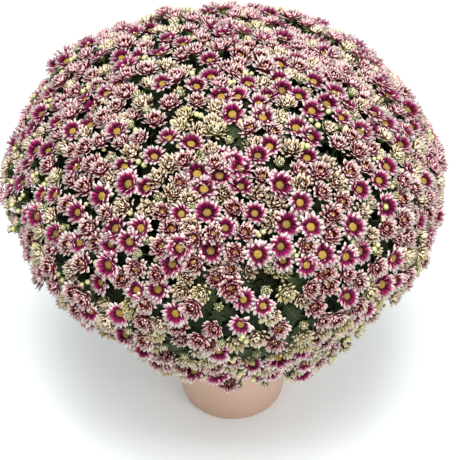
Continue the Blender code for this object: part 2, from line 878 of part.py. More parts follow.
def grow_leaf(d, members, sizes, base_depth, skirt):
    # tries sizes, tilts and turns, and keeps the largest leaf that stays clear
    n = normal_of(d)
    base = surface(d, base_depth)
    e1, e2 = basis(d)
    start_turn = rng.random() * 2 * math.pi
    for size in sizes:
        flush = math.asin(min(0.9, (base_depth + 0.0005) / size))
        for tilt in ((0.0, -0.3, 0.3) if skirt else (flush, flush * 0.75, flush * 0.5)):
            for step in range(10):
                turn = start_turn + 2 * math.pi * step / 10
                flat = e1 * math.cos(turn) + e2 * math.sin(turn)
                flat = (flat - n * flat.dot(n)).normalized()
                if skirt and flat.z > -0.2:
                    continue
                along = (flat * math.cos(tilt) + n * math.sin(tilt)).normalized()
                face = (n - along * n.dot(along)).normalized()
                knee = surface(d, base_depth + 0.016) - along * 0.004
                for owner in members:
                    path = PATHS[owner]
                    for t in (0.80, 0.70, 0.60):
                        foot = path_point(path, t)
                        shape = leaf_shape(foot, knee, base, along, face, size)
                        if leaf_fits(shape[0], shape[1], owner):
                            LEAF_TREES.append(disc_tree(shape[0], shape[1]))
                            LEAVES[owner].append(shape)
                            return True
    return False


missed = 0
for members, d, skirt in find_windows():
    if skirt:
        sizes = (0.058, 0.050, 0.042, 0.034)
        done = grow_leaf(d, members, sizes, CORE_DEPTH, True)
    else:
        sizes = (0.056, 0.050, 0.044, 0.038, 0.032, 0.026)
        done = grow_leaf(d, members, sizes, CORE_DEPTH - 0.002, False)
        grow_leaf(d, members, sizes[1:], CORE_DEPTH + 0.004, False)
    missed += not done
print("windows", len(find_windows()), "without a leaf", missed)

for spray in SPRAY_LIST:
    name = "leafy_stem_%02d" % (spray.index + 1)
    stem = mesh_object(name, *STEM_SHAPES[spray.index], GREEN_MAT)
    leaves = [mesh_object("leaf", *shape, GREEN_MAT) for shape in LEAVES[spray.index]]
    if leaves:
        boolean(stem, leaves, "UNION")


# Soil: low dome, 0.3 mm clear of the pot, with a plain hole for every stem
def make_soil():
    wall, foot = POT_WALL, POT_FOOT_R
    body_in = POT_BODY_TOP_R - wall
    slope = (body_in - (foot - wall)) / (POT_RIM_LOW - wall)
    clear = GAP * 1.02
    low_r = foot - wall - clear + slope * clear
    rim_slope = (POT_RIM_R - 0.0045 - body_in) / (POT_HEIGHT - 0.0008 - POT_RIM_LOW)
    top_r = body_in + rim_slope * (SOIL_TOP - 0.002 - POT_RIM_LOW) - clear
    profile = [
        (0.0, wall + GAP), (low_r, wall + GAP), (body_in - clear, POT_RIM_LOW),
        (top_r, SOIL_TOP - 0.002), (top_r * 0.93, SOIL_TOP), (0.0, SOIL_CROWN),
    ]
    soil = lathe("soil", profile, POT_SIDES, SOIL_MAT)
    cutters = []
    for spray in SPRAY_LIST:
        start, rise = PATHS[spray.index][0], PATHS[spray.index][1]
        grow = GAP * 1.5
        verts, faces = tube([start - Vector((0, 0, GAP)), rise], [STEM_R + grow, STEM_R + grow],
                            STEM_SIDES, Vector((0.0, 0.0, 1.0)))
        cutters.append(mesh_object("hole", verts, faces, SOIL_MAT))
    boolean(soil, cutters, "DIFFERENCE")
    return soil


make_soil()

total = 0
for obj in bpy.data.objects:
    obj.data.calc_loop_triangles()
    total += len(obj.data.loop_triangles)
print("triangles", total)
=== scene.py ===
import math
import random

import bmesh
import bpy
import numpy as np
from mathutils import Matrix, Vector


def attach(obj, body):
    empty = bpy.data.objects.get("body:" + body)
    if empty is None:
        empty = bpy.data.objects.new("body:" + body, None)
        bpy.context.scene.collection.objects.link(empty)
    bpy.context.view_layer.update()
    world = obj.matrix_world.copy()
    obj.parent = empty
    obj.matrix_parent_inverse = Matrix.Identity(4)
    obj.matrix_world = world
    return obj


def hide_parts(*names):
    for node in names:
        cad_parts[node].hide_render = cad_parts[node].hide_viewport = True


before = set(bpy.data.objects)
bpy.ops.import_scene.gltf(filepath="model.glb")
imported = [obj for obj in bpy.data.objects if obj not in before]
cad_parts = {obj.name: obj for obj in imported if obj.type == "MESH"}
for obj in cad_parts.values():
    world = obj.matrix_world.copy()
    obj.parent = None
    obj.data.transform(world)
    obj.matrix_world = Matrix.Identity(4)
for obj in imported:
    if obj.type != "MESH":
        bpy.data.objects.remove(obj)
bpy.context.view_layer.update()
bpy.context.scene.view_settings.view_transform = "Standard"

# The ball of blooms as a half section, in the same sizes as the solids
ball = {
    "girthRadius": 0.290,
    "girthHeight": 0.392,
    "crownRise": 0.204,
    "taperHeight": 0.080,
    "taperRadius": 0.084,
    "taperPower": 1.18,
    "heart": Vector((0.0, 0.0, 0.330)),
    "skirtAngle": math.radians(-51.0),
    "sprays": 18,
    "samples": 24000,  # spots spread evenly over the ball
    "spraySamples": 6000,  # of them, enough to share the ball out into sprays
    "sprayRounds": 60,
    "seed": 11,
    "lean": Vector((-0.010, -0.008, 0.0)),  # the ball stands a little off the pot's middle
    "leanBetween": (0.16, 0.40),
    # where the ball swells or falls in: direction from the heart, height, spread; the solids have the
    # first four
    "swells": [
        ((-0.62, 0.35, 0.70), 0.016, 0.34), ((0.80, -0.30, -0.52), 0.014, 0.22),
        ((-0.76, -0.35, -0.54), -0.023, 0.34), ((-0.98, -0.12, 0.16), 0.007, 0.20),
        ((0.95, 0.21, 0.25), 0.010, 0.17), ((0.98, -0.12, -0.14), 0.007, 0.07),
        ((-0.89, -0.30, -0.34), -0.014, 0.13), ((-0.42, -0.60, -0.68), 0.010, 0.15),
        ((0.56, -0.55, -0.62), 0.012, 0.13), ((-0.50, 0.57, 0.64), -0.010, 0.20),
        ((-0.33, -0.63, -0.71), 0.010, 0.13), ((0.40, -0.61, -0.69), 0.010, 0.13),
    ],
}


# surface of the ball
def ballTables():
    # directions in half degrees, the distance of the surface from the heart in each, and its slope
    points = []
    for k in range(121):
        t = math.pi / 2 * (1 - k / 120)
        points.append((ball["girthRadius"] * math.cos(t),
                       ball["girthHeight"] + ball["crownRise"] * math.sin(t)))
    power = ball["taperPower"]
    for k in range(1, 161):
        s = k / 160
        wide = ball["girthRadius"] - ball["taperRadius"]
        radius = ball["taperRadius"] + wide * (1 - s ** power) ** (1 / power)
        points.append((radius, ball["girthHeight"] - (ball["girthHeight"] - ball["taperHeight"]) * s))
    curve = np.array(points[::-1])
    rise = curve[:, 1] - ball["heart"].z
    grid = np.radians(np.linspace(-66.0, 90.0, 313))
    radii = np.interp(grid, np.arctan2(rise, curve[:, 0]), np.hypot(curve[:, 0], rise))
    full = np.concatenate([np.full(8, radii[0]), radii, radii[-2:-10:-1]])
    radii = np.convolve(full, np.ones(17) / 17, "valid")  # smoothed over 8 degrees
    return grid, radii, np.gradient(radii, grid)


angles, radii, slopes = ballTables()


def elevationOf(d):
    return math.asin(max(-1.0, min(1.0, d.z)))


def reachOf(d):
    return float(np.interp(elevationOf(d), angles, radii))


def normalOf(d):
    flat = math.hypot(d.x, d.y)
    if flat <= 1e-6:
        return Vector((0.0, 0.0, 1.0))
    angle = elevationOf(d)
    radius, slope = float(np.interp(angle, angles, radii)), float(np.interp(angle, angles, slopes))
    side, rise = math.cos(angle), math.sin(angle)
    out = Vector((d.x / flat, d.y / flat, 0.0))
    return (out * (radius * side + slope * rise)
            + Vector((0.0, 0.0, radius * rise - slope * side))).normalized()


def swellOf(d):
    total = 0.0
    for centre, height, spread in ball["swells"]:
        away = math.acos(max(-1.0, min(1.0, d.dot(Vector(centre).normalized()))))
        total += height * math.exp(-(away / spread) ** 2)
    return total


def leanAt(height):
    low, high = ball["leanBetween"]
    share = max(0.0, min(1.0, (height - low) / (high - low)))
    return ball["lean"] * (share * share * (3 - 2 * share))


def surface(d, depth):
    d = d.normalized()
    spot = ball["heart"] + d * (reachOf(d) + swellOf(d) - depth / max(0.6, d.dot(normalOf(d))))
    return spot + leanAt(spot.z)


draw = np.random.RandomState(ball["seed"])


def spreadPoints(count):
    grid = angles[angles > ball["skirtAngle"]]
    radius, slope = np.interp(grid, angles, radii), np.interp(grid, angles, slopes)
    weight = radius * np.cos(grid) * np.hypot(radius, slope)
    total = np.concatenate([[0.0], np.cumsum((weight[1:] + weight[:-1]) / 2)])
    angle = np.interp(draw.rand(count) * total[-1], total, grid)
    turn = draw.rand(count) * 2 * math.pi
    dirs = np.stack([np.cos(angle) * np.cos(turn), np.cos(angle) * np.sin(turn), np.sin(angle)], 1)
    return dirs, dirs * np.interp(angle, angles, radii)[:, None] + np.array(ball["heart"])


def nearestOf(points, centres):
    near = np.empty(len(points), int)
    for k in range(0, len(points), 2000):  # in lots, to save memory
        part = points[k:k + 2000]
        near[k:k + 2000] = np.argmin(
            (part ** 2).sum(1)[:, None] - 2 * part @ centres.T + (centres ** 2).sum(1)[None, :], axis=1)
    return near


def settle(points, starts, rounds):
    # moves the centres apart until each is in the middle of its share; gives directions from the heart
    centres = starts.copy()
    for _ in range(rounds):
        nearest = nearestOf(points, centres)
        for k in range(len(centres)):
            own = points[nearest == k]
            if len(own):
                centres[k] = own.mean(0)
    return [(Vector(c) - ball["heart"]).normalized() for c in centres]


sampleDirs, samplePoints = spreadPoints(ball["samples"])
starts = samplePoints[draw.choice(len(samplePoints), ball["sprays"], replace=False)]
sprayCentres = settle(samplePoints[:ball["spraySamples"]], starts, ball["sprayRounds"])
sprayCentres.sort(key=lambda c: -c.z)
sprayTable = np.array([tuple(c) for c in sprayCentres])
print("ball laid out")


def sprayOf(d):
    return int(np.argmax(sprayTable @ np.array(d)))


def anyDirection(pick):
    return Vector(sampleDirs[pick.randrange(len(sampleDirs))])


def anyShift(pick):
    return Vector([pick.uniform(-1, 1) for _ in range(3)])


# Node trees: a Field is a socket that plain arithmetic works on, so that a formula reads as one
class Field:
    def __init__(self, tree, socket):
        self.tree = tree
        self.socket = socket

    def maths(self, operation, other=0.0, clamp=False):
        return fields(self.tree, "ShaderNodeMath", {0: self, 1: other}, operation=operation,
                      use_clamp=clamp)[0]

    def __add__(self, other):
        return self.maths("ADD", other)

    def __sub__(self, other):
        return self.maths("SUBTRACT", other)

    def __rsub__(self, other):
        return fields(self.tree, "ShaderNodeMath", {0: other, 1: self}, operation="SUBTRACT")[0]

    def __mul__(self, other):
        return self.maths("MULTIPLY", other)

    def __truediv__(self, other):
        return self.maths("DIVIDE", other)

    def __gt__(self, other):
        return self.maths("GREATER_THAN", other)

    def __lt__(self, other):
        return self.maths("LESS_THAN", other)

    def __abs__(self):
        return self.maths("ABSOLUTE")


def wire(made, inputs):
    # a field is linked to its input, and anything else is set there
    for key, value in inputs.items():
        if isinstance(value, Field):
            value.tree.links.new(value.socket, made.inputs[key])
        else:
            made.inputs[key].default_value = value
    return made


def node(tree, kind, inputs, **settings):
    made = tree.nodes.new(kind)
    for key, value in settings.items():
        setattr(made, key, value)
    return wire(made, inputs)


def fields(tree, kind, inputs, **settings):
    # the outputs of a new node
    return [Field(tree, socket) for socket in node(tree, kind, inputs, **settings).outputs]


def newTree(kind, name, inputs, outputs):
    # a node group with named inputs; gives the inputs' fields and identifiers too
    tree = bpy.data.node_groups.new(name, kind)
    ids = {}
    for label, shape in inputs.items():
        socket = tree.interface.new_socket(label, in_out="INPUT", socket_type="NodeSocket" + shape)
        ids[label] = socket.identifier
    for label, shape in outputs.items():
        tree.interface.new_socket(label, in_out="OUTPUT", socket_type="NodeSocket" + shape)
    given = {field.socket.name: field for field in fields(tree, "NodeGroupInput", {})}
    return tree, given, ids


def putOut(tree, *results):
    node(tree, "NodeGroupOutput", dict(enumerate(results)))


# meshes
def meshObject(name, verts, faces, link=True):
    mesh = bpy.data.meshes.new(name)
    mesh.from_pydata([tuple(v) for v in verts], [], faces)
    mesh.validate()
    for face in mesh.polygons:
        face.use_smooth = True
    made = bpy.data.objects.new(name, mesh)
    if link:
        bpy.context.scene.collection.objects.link(made)
    return made


def closedBody(name, verts, faces, skin, places=None, link=True):
    # places gives a vertex its spot on the strip map, in the face that has the given corners
    made = meshObject(name, verts, faces, link)
    bm = bmesh.new()
    bm.from_mesh(made.data)
    bmesh.ops.recalc_face_normals(bm, faces=bm.faces)
    bm.to_mesh(made.data)
    bm.free()
    if places:
        layer = made.data.uv_layers.new(name="OFBake")
        for face in made.data.polygons:
            for corner, vert in zip(face.loop_indices, face.vertices):
                layer.data[corner].uv = places(vert, face.vertices)
    made.data.materials.append(skin)
    return made


def ringFaces(rings, inwards=False):
    # faces from ring to ring; a ring that is one corner over and over closes the body to a point.
    # Inwards is the way round they are listed, before the body's normals are recalculated
    faces = []
    for a, b in zip(rings[:-1], rings[1:]):
        for j in range(len(a)):
            nxt = (j + 1) % len(a)
            corners = (a[j], b[j], b[nxt], a[nxt]) if inwards else (a[j], a[nxt], b[nxt], b[j])
            faces.append(tuple(dict.fromkeys(corners)))
    return faces


def turnedRings(profile, sides, inwards=False):
    # verts and faces of a body turned about Z; a point on the axis is a single vertex
    verts, rings = [], []
    for radius, height in profile:
        count = sides if radius > 1e-6 else 1
        rings.append([len(verts) + j % count for j in range(sides)])
        for j in range(count):
            turn = 2 * math.pi * j / sides
            verts.append((radius * math.cos(turn), radius * math.sin(turn), height))
    return verts, ringFaces(rings, inwards)


def trianglesOf(made):
    made.data.calc_loop_triangles()
    return len(made.data.loop_triangles)


def joined(parts):
    with bpy.context.temp_override(active_object=parts[0], object=parts[0], selected_objects=parts,
                                   selected_editable_objects=parts):
        bpy.ops.object.join()
    return parts[0]


def grown(holder, tree, ids, values):
    # runs a tree on the holder and gives the result as a plain mesh
    mod = holder.modifiers.new("grow", "NODES")
    mod.node_group = tree
    for label, value in values.items():
        mod[ids[label]] = value
    graph = bpy.context.evaluated_depsgraph_get()
    mesh = bpy.data.meshes.new_from_object(holder.evaluated_get(graph), preserve_all_data_layers=True,
                                           depsgraph=graph)
    bpy.data.objects.remove(holder, do_unlink=True)
    return mesh


pieces = []


def fitted(piece, replaced):
    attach(piece, "root")
    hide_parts(replaced)
    pieces.append(piece)


# camera, floor and light
view = {
    "distance": 2.2,
    "elevation": math.radians(40.0),
    "height": 0.396,  # of the point on the pot's axis that the camera is that far from
    "aim": Vector((-0.004, -0.0434, 0.3444)),
    "width": 460,  # of the picture, in pixels
    "focal": 1644.0,  # in pixels
    "sensor": 36.0,
    "searchFrom": 1.6,  # how far out a sight line is searched for the ball, and in what steps
    "searchStep": 0.003,
}


def cameraFrame():
    out, rise = math.cos(view["elevation"]), math.sin(view["elevation"])
    place = Vector((view["aim"].x, -view["distance"] * out, view["height"] + view["distance"] * rise))
    forward = (view["aim"] - place).normalized()
    right = forward.cross(Vector((0.0, 0.0, 1.0))).normalized()
    return place, forward, right, right.cross(forward).normalized()


cameraPlace, forward, right, up = cameraFrame()


def makeCamera():
    lens = bpy.data.cameras.new("camera")
    lens.sensor_width = view["sensor"]
    lens.lens = view["focal"] / view["width"] * view["sensor"]
    lens.clip_end = 20.0
    made = bpy.data.objects.new("camera", lens)
    bpy.context.scene.collection.objects.link(made)
    turn = Matrix((right, up, -forward)).transposed().to_4x4()
    made.matrix_world = Matrix.Translation(cameraPlace) @ turn
    bpy.context.scene.camera = made


def throughPixel(x, y):
    # direction from the heart to where the sight line of a pixel meets the ball
    middle, focal = view["width"] / 2, view["focal"]
    sight = (forward + right * ((x - middle) / focal) - up * ((y - middle) / focal)).normalized()
    for k in range(400):
        spot = cameraPlace + sight * (view["searchFrom"] + k * view["searchStep"])
        away = spot - leanAt(spot.z) - ball["heart"]
        d = away.normalized()
        if away.length < reachOf(d) + swellOf(d):
            return d
    return None


studio = {
    "skyStrength": 0.82,
    "lamps": [  # place, power, size
        (Vector((-0.04, -0.86, 2.9)), 90.0, 1.35),
        (Vector((1.9, -1.8, 1.5)), 21.0, 1.4),
    ],
    "lampAim": Vector((0.0, 0.0, 0.3)),
    "floorColour": (0.920, 0.966, 0.978),  # a touch cool, against the warm light off the pot
    "floorHalf": 6.0,
}


def makeLight():
    world = bpy.data.worlds.new("studio")
    bpy.context.scene.world = world
    world.use_nodes = True
    wire(world.node_tree.nodes["Background"], {"Color": (1.0, 1.0, 1.0, 1.0),
                                               "Strength": studio["skyStrength"]})
    for place, power, size in studio["lamps"]:
        lamp = bpy.data.lights.new("softLamp", "AREA")
        lamp.energy = power
        lamp.size = size
        made = bpy.data.objects.new("softLamp", lamp)
        made.location = place
        made.rotation_euler = (studio["lampAim"] - place).to_track_quat("-Z", "Y").to_euler()
        bpy.context.scene.collection.objects.link(made)


def newMaterial(name):
    mat = bpy.data.materials.new(name)
    mat.use_nodes = True
    return mat, mat.node_tree, mat.node_tree.nodes["Principled BSDF"]


def makeFloor():
    half = studio["floorHalf"]
    corners = [(-half, -half, 0), (half, -half, 0), (half, half, 0), (-half, half, 0)]
    floor = meshObject("studioFloor", corners, [(0, 1, 2, 3)])
    mat, _, shader = newMaterial("studioFloor")
    wire(shader, {"Base Color": (*studio["floorColour"], 1.0), "Roughness": 0.8})
    floor.data.materials.append(mat)


makeCamera()
makeLight()
makeFloor()
print("studio ready")

# The strip map: columns for the tones of petals, and bands along it for what they are on
strip = {
    "columns": 48.0,
    "petalTones": 4,  # columns to each bloom tone
    "bloomTones": {"open": range(0, 5), "pink": range(5, 8), "cream": range(8, 10),
                   "opening": range(10, 12), "bud": range(10, 12)},
    "front": (0.0, 0.40),
    "back": (0.42, 0.70),
    "disc": (0.72, 0.86),
    "green": (0.88, 1.0),
}


# shader groups
def toneColumns():
    # splits a strip map into its column, the place across and along it, and three random values
    names = ("Column", "Across", "Along", "Petal Chance", "Bloom Chance", "Bloom Tone")
    inputs = dict.fromkeys(("Columns", "Low", "High"), "Float")
    tree, given, _ = newTree("ShaderNodeTree", "toneColumns", inputs, dict.fromkeys(names, "Float"))
    uv = fields(tree, "ShaderNodeUVMap", {}, uv_map="OFBake")[0]
    u, v, _ = fields(tree, "ShaderNodeSeparateXYZ", {0: uv})
    wide = u * given["Columns"]
    column = wide.maths("FLOOR")
    along = (v - given["Low"]) / (given["High"] - given["Low"])
    bloom = (column / strip["petalTones"]).maths("FLOOR")
    chances = [fields(tree, "ShaderNodeTexWhiteNoise", {"W": w}, noise_dimensions="1D")[0]
               for w in (column, bloom + 37.3, bloom + 71.9)]
    putOut(tree, column, wide.maths("FRACT"), along, *chances)
    return tree


def grainGroup():
    # fine uneven grain on object coordinates
    tree, given, _ = newTree("ShaderNodeTree", "grain", {"Scale": "Float", "Contrast": "Float"},
                             {"Value": "Float", "Fine": "Float"})
    place = Field(tree, node(tree, "ShaderNodeTexCoord", {}).outputs["Object"])
    broad = fields(tree, "ShaderNodeTexNoise", {"Vector": place, "Scale": given["Scale"], "Detail": 4.0,
                                                "Roughness": 0.6})[0]
    fine = fields(tree, "ShaderNodeTexNoise", {"Vector": place, "Scale": given["Scale"] * 9.0,
                                               "Detail": 2.0})[0]
    putOut(tree, ((broad - 0.5) * given["Contrast"]).maths("ADD", 0.5, clamp=True), fine)
    return tree


toneTree = toneColumns()
grainTree = grainGroup()


def stripTones(tree, columns, band):
    return fields(tree, "ShaderNodeGroup", {"Columns": columns, "Low": band[0], "High": band[1]},
                  node_tree=toneTree)


def ramp(factor, look, name):
    # the ramp that a look holds under that name, with its colours named there too
    made = node(factor.tree, "ShaderNodeValToRGB", {"Fac": factor})
    points, stops = made.color_ramp.elements, look[name]
    while len(points) < len(stops):
        points.new(1.0)
    for point, (place, colour) in zip(points, stops):
        point.position = place
        point.color = (*look[colour], 1.0)
    return Field(factor.tree, made.outputs[0])


def mix(tree, factor, a, b, blend="MIX"):
    a, b = ((*colour, 1.0) if isinstance(colour, tuple) else colour for colour in (a, b))
    return fields(tree, "ShaderNodeMix", {0: factor, 6: a, 7: b}, data_type="RGBA", blend_type=blend)[2]


def shaded(colour, shade):
    grey = fields(colour.tree, "ShaderNodeCombineColor", dict.fromkeys(range(3), shade))[0]
    return mix(colour.tree, 1.0, colour, grey, "MULTIPLY")


def noiseAt(w, scale, detail=2.0):
    return fields(w.tree, "ShaderNodeTexNoise", {"W": w, "Scale": scale, "Detail": detail},
                  noise_dimensions="1D")[0]


def bump(height, strength, distance):
    return fields(height.tree, "ShaderNodeBump", {"Strength": strength, "Distance": distance,
                                                  "Height": height})[0]


petalLook = {
    "maroon": (0.080, 0.004, 0.020),
    "magenta": (0.235, 0.005, 0.074),
    "hotPink": (0.420, 0.009, 0.145),
    "pink": (0.540, 0.120, 0.250),
    "blush": (0.760, 0.450, 0.480),
    "white": (0.870, 0.750, 0.700),
    "wine": (0.145, 0.008, 0.018),
    "rose": (0.440, 0.060, 0.098),
    "shell": (0.780, 0.520, 0.470),
    "brown": (0.115, 0.024, 0.015),
    "cream": (0.780, 0.630, 0.390),
    "ivory": (0.840, 0.770, 0.640),
    "peach": (0.600, 0.320, 0.180),
    "olive": (0.200, 0.185, 0.042),
    "butter": (0.680, 0.610, 0.260),
    # the colours from a petal's foot to its tip, on its front and back
    "bright": [(0.0, "maroon"), (0.18, "magenta"), (0.38, "hotPink"), (0.55, "hotPink"), (0.67, "blush"),
               (0.80, "white")],
    "dusky": [(0.0, "maroon"), (0.30, "maroon"), (0.49, "magenta"), (0.60, "pink"), (0.71, "blush"),
              (0.83, "white")],
    "pinkFront": [(0.0, "wine"), (0.35, "wine"), (0.51, "rose"), (0.66, "shell"), (0.81, "white"),
                  (1.0, "ivory")],
    "creamFront": [(0.0, "brown"), (0.43, "brown"), (0.56, "peach"), (0.69, "cream"), (0.88, "ivory")],
    "openingFront": [(0.0, "olive"), (0.30, "olive"), (0.50, "butter"), (0.75, "cream"), (1.0, "ivory")],
    "openBack": [(0.0, "peach"), (0.45, "pink"), (0.7, "blush"), (1.0, "white")],
    "creamBack": [(0.0, "olive"), (0.40, "cream"), (1.0, "ivory")],
    # how much further the dark colour runs out in some petals, streaks and blooms, and less at the edges
    "petalReach": 0.15,
    "streakReach": 0.36,
    "bloomReach": 0.16,
    "edgeReach": 0.36,
}


def petalMaterial():
    look = petalLook
    mat, tree, shader = newMaterial("petal skin")
    column, across, along, petalChance, bloomChance, bloomTone = stripTones(tree, strip["columns"],
                                                                            strip["front"])
    frontEnd = strip["front"][1]
    backFoot, backTip = strip["back"][0] / frontEnd, strip["back"][1] / frontEnd
    backAlong = (along - backFoot).maths("DIVIDE", backTip - backFoot, clamp=True)
    edge = abs(across - 0.5) * 2.0
    streak = noiseAt((across + column) * 7.0, 2.0, 1.0)
    reach = (petalChance - 0.5) * look["petalReach"] + (streak - 0.5) * look["streakReach"]
    reach = reach + (bloomTone - 0.5) * look["bloomReach"] - edge.maths("POWER", 4.0) * look["edgeReach"]
    where = along.maths("SUBTRACT", reach, clamp=True)

    def isFrom(stage):
        return column > strip["bloomTones"][stage][0] * strip["petalTones"] - 0.5

    front = mix(tree, bloomChance, ramp(where, look, "bright"), ramp(where, look, "dusky"))
    for stage in ("pink", "cream", "opening"):
        front = mix(tree, isFrom(stage), front, ramp(where, look, stage + "Front"))
    back = mix(tree, isFrom("cream"), ramp(backAlong, look, "openBack"), ramp(backAlong, look, "creamBack"))
    colour = mix(tree, along > (1.0 + backFoot) / 2, front, back)
    wire(shader, {"Base Color": shaded(colour, streak * 0.30 + 0.85), "Roughness": streak * 0.2 + 0.45,
                  "Specular IOR Level": 0.3})
    return mat


discLook = {
    "gold": (0.350, 0.207, 0.024),
    "amber": (0.245, 0.125, 0.018),
    "olive": (0.110, 0.086, 0.014),
    "tan": (0.235, 0.148, 0.034),
    # the colours from the middle of a disc to its rim
    "fresh": [(0.0, "amber"), (0.30, "gold"), (0.70, "gold"), (1.0, "olive")],
    "aged": [(0.0, "tan"), (0.5, "amber"), (1.0, "olive")],
    "ripe": [(0.0, "olive"), (0.5, "gold"), (0.8, "amber"), (1.0, "olive")],
    "agedAbove": 0.55,
    "ripeAbove": 0.60,
}


def discMaterial():
    look = discLook
    mat, tree, shader = newMaterial("disc florets")
    column, across, along, _, bloomChance, bloomTone = stripTones(tree, strip["columns"], strip["disc"])
    colour = mix(tree, bloomTone > look["agedAbove"], ramp(along, look, "fresh"), ramp(along, look, "aged"))
    colour = mix(tree, bloomChance > look["ripeAbove"], colour, ramp(along, look, "ripe"))
    speck = noiseAt((across + column) * 5.0, 1.0)
    wire(shader, {"Base Color": shaded(colour, speck * 2.2 - 0.2), "Roughness": 0.7})
    return mat


greenLook = {
    "bract": (0.085, 0.130, 0.030),
    "stalk": (0.110, 0.170, 0.045),
    "budTip": (0.560, 0.560, 0.200),
    "budCream": (0.70, 0.64, 0.36),
    # from the foot of a stalk to the tip of a bud
    "scales": [(0.0, "stalk"), (0.35, "bract"), (0.56, "stalk"), (0.70, "budTip"), (0.94, "budCream")],
    "ribs": 8.0,
    "ribDepth": 0.16,
}


def calyxMaterial():
    mat, tree, shader = newMaterial("calyx green")
    _, across, along, petalChance, _, _ = stripTones(tree, strip["columns"], strip["green"])
    ribs = abs((across * greenLook["ribs"]).maths("FRACT") - 0.5)
    colour = ramp(along - ribs * greenLook["ribDepth"], greenLook, "scales")
    wire(shader, {"Base Color": shaded(colour, petalChance * 0.5 + 0.75), "Roughness": 0.6})
    return mat


petalSkin = petalMaterial()
discSkin = discMaterial()
calyxSkin = calyxMaterial()


def onBand(band, share):
    return band[0] + (band[1] - band[0]) * share


# shapes that repeat
def petalShape(name, sections, tip):
    # rings of three corners: two edges and the keel below; sections are (along, half width, rise, keel)
    verts = []
    for along, half, rise, keel in sections:
        verts += [(along, -half, rise), (along, half, rise), (along, 0.0, rise - keel)]
    last, keels = len(verts), set(range(2, len(verts), 3))
    verts.append(tip)
    rings = [range(a, a + 3) for a in range(0, last, 3)] + [[last] * 3]
    faces = ringFaces(rings, inwards=True) + [(0, 1, 2)]

    def places(vert, ring):
        along = min(1.0, max(0.0, verts[vert][0])) * 0.97
        band = strip["back" if keels.intersection(ring) else "front"]
        if vert in keels:
            return 0.5, onBand(band, along + 0.02) + 0.002
        return 0.5 if vert == last else (0.04, 0.96)[vert % 3], onBand(band, along) + 0.002

    return closedBody(name, verts, faces, petalSkin, places, link=False)


petals = {
    "broad": petalShape("petalBroad", [(0.0, 0.085, 0.0, 0.03), (0.50, 0.178, 0.022, 0.040),
                                       (0.80, 0.160, 0.010, 0.026)], (1.02, 0.0, -0.010)),
    "cupped": petalShape("petalCupped", [(0.0, 0.085, 0.0, 0.03), (0.70, 0.190, 0.075, 0.040)],
                         (1.0, 0.0, 0.150)),
    "curled": petalShape("petalCurled", [(0.0, 0.120, 0.0, 0.04), (0.60, 0.210, 0.150, 0.050)],
                         (0.98, 0.0, 0.420)),
}


def domeShape(name, radius, height, sides, rings, bumps, band, skin):
    # low dome, each ring turned half a step against the last, with small bumps
    verts, faces = [], []
    for k in range(rings):
        turn = math.pi / 2 * k / rings
        for j in range(sides):
            around = 2 * math.pi * (j + 0.5 * (k % 2)) / sides
            out = radius * math.cos(turn) * (1 + bumps * (-1) ** (j + k) * 0.5)
            verts.append((out * math.cos(around), out * math.sin(around),
                          height * math.sin(turn) + bumps * radius * (-1) ** j * 0.4))
    top, low = len(verts), len(verts) + 1
    verts += [(0.0, 0.0, height * 0.93), (0.0, 0.0, -height * 0.25)]
    for k in range(rings - 1):
        a, b = k * sides, (k + 1) * sides
        for j in range(sides):
            nxt = (j + 1) % sides
            faces.append((a + j, a + nxt, b + (nxt if k % 2 else j)))
            faces.append((b + j, a + (j if k % 2 else nxt), b + nxt))
    a = (rings - 1) * sides
    for j in range(sides):
        nxt = (j + 1) % sides
        faces += [(a + j, a + nxt, top), (nxt, j, low)]

    def places(vert, _):
        out = min(1.0, math.hypot(*verts[vert][:2]) / (radius * 1.1))
        return 0.1 + 0.8 * (0.5 + 0.5 * math.sin(vert * 2.1)), onBand(band, 0.04 + 0.92 * out)

    return closedBody(name, verts, faces, skin, places, link=False)


disc = domeShape("discOpen", 0.0056, 0.0022, 10, 3, 0.18, strip["disc"], discSkin)
youngDisc = domeShape("discYoung", 0.0034, 0.0056, 8, 3, 0.18, strip["disc"], discSkin)
# the dark heart that the curled petals of a double bloom stand out of
coreLow = domeShape("coreLow", 0.0066, 0.0038, 8, 2, 0.0, (0.0, 0.10), petalSkin)
coreFull = domeShape("coreFull", 0.0062, 0.0052, 8, 2, 0.0, (0.0, 0.12), petalSkin)


def turnedGreen(name, profile, sides):
    # profile is (radius, height, place in the colour band), and both its ends lie on the axis
    verts, faces = turnedRings([point[:2] for point in profile], sides, inwards=True)

    def places(vert, _):
        tone = profile[(vert - 1) // sides + 1][2]
        return 0.1 + 0.8 * (vert % sides) / sides, onBand(strip["green"], 0.02 + 0.96 * tone)

    return closedBody(name, verts, faces, calyxSkin, places, link=False)


calyx = turnedGreen("calyx", [(0.0, -0.030, 0.0), (0.0009, -0.029, 0.05), (0.0010, -0.0075, 0.2),
                              (0.0030, -0.0060, 0.35), (0.0052, -0.0025, 0.45), (0.0050, -0.0008, 0.5),
                              (0.0, 0.0002, 0.3)], 6)
smallBud = turnedGreen("smallBud", [(0.0, -0.026, 0.0), (0.0008, -0.025, 0.05), (0.0009, -0.0045, 0.2),
                                    (0.0030, -0.0030, 0.35), (0.0043, 0.0, 0.62), (0.0032, 0.0032, 0.9),
                                    (0.0, 0.0050, 1.0)], 6)
budCup = turnedGreen("budCup", [(0.0, -0.026, 0.0), (0.0009, -0.025, 0.05), (0.0010, -0.0060, 0.2),
                                (0.0036, -0.0040, 0.35), (0.0055, 0.0, 0.5), (0.0050, 0.0030, 0.55),
                                (0.0, 0.0035, 0.4)], 8)

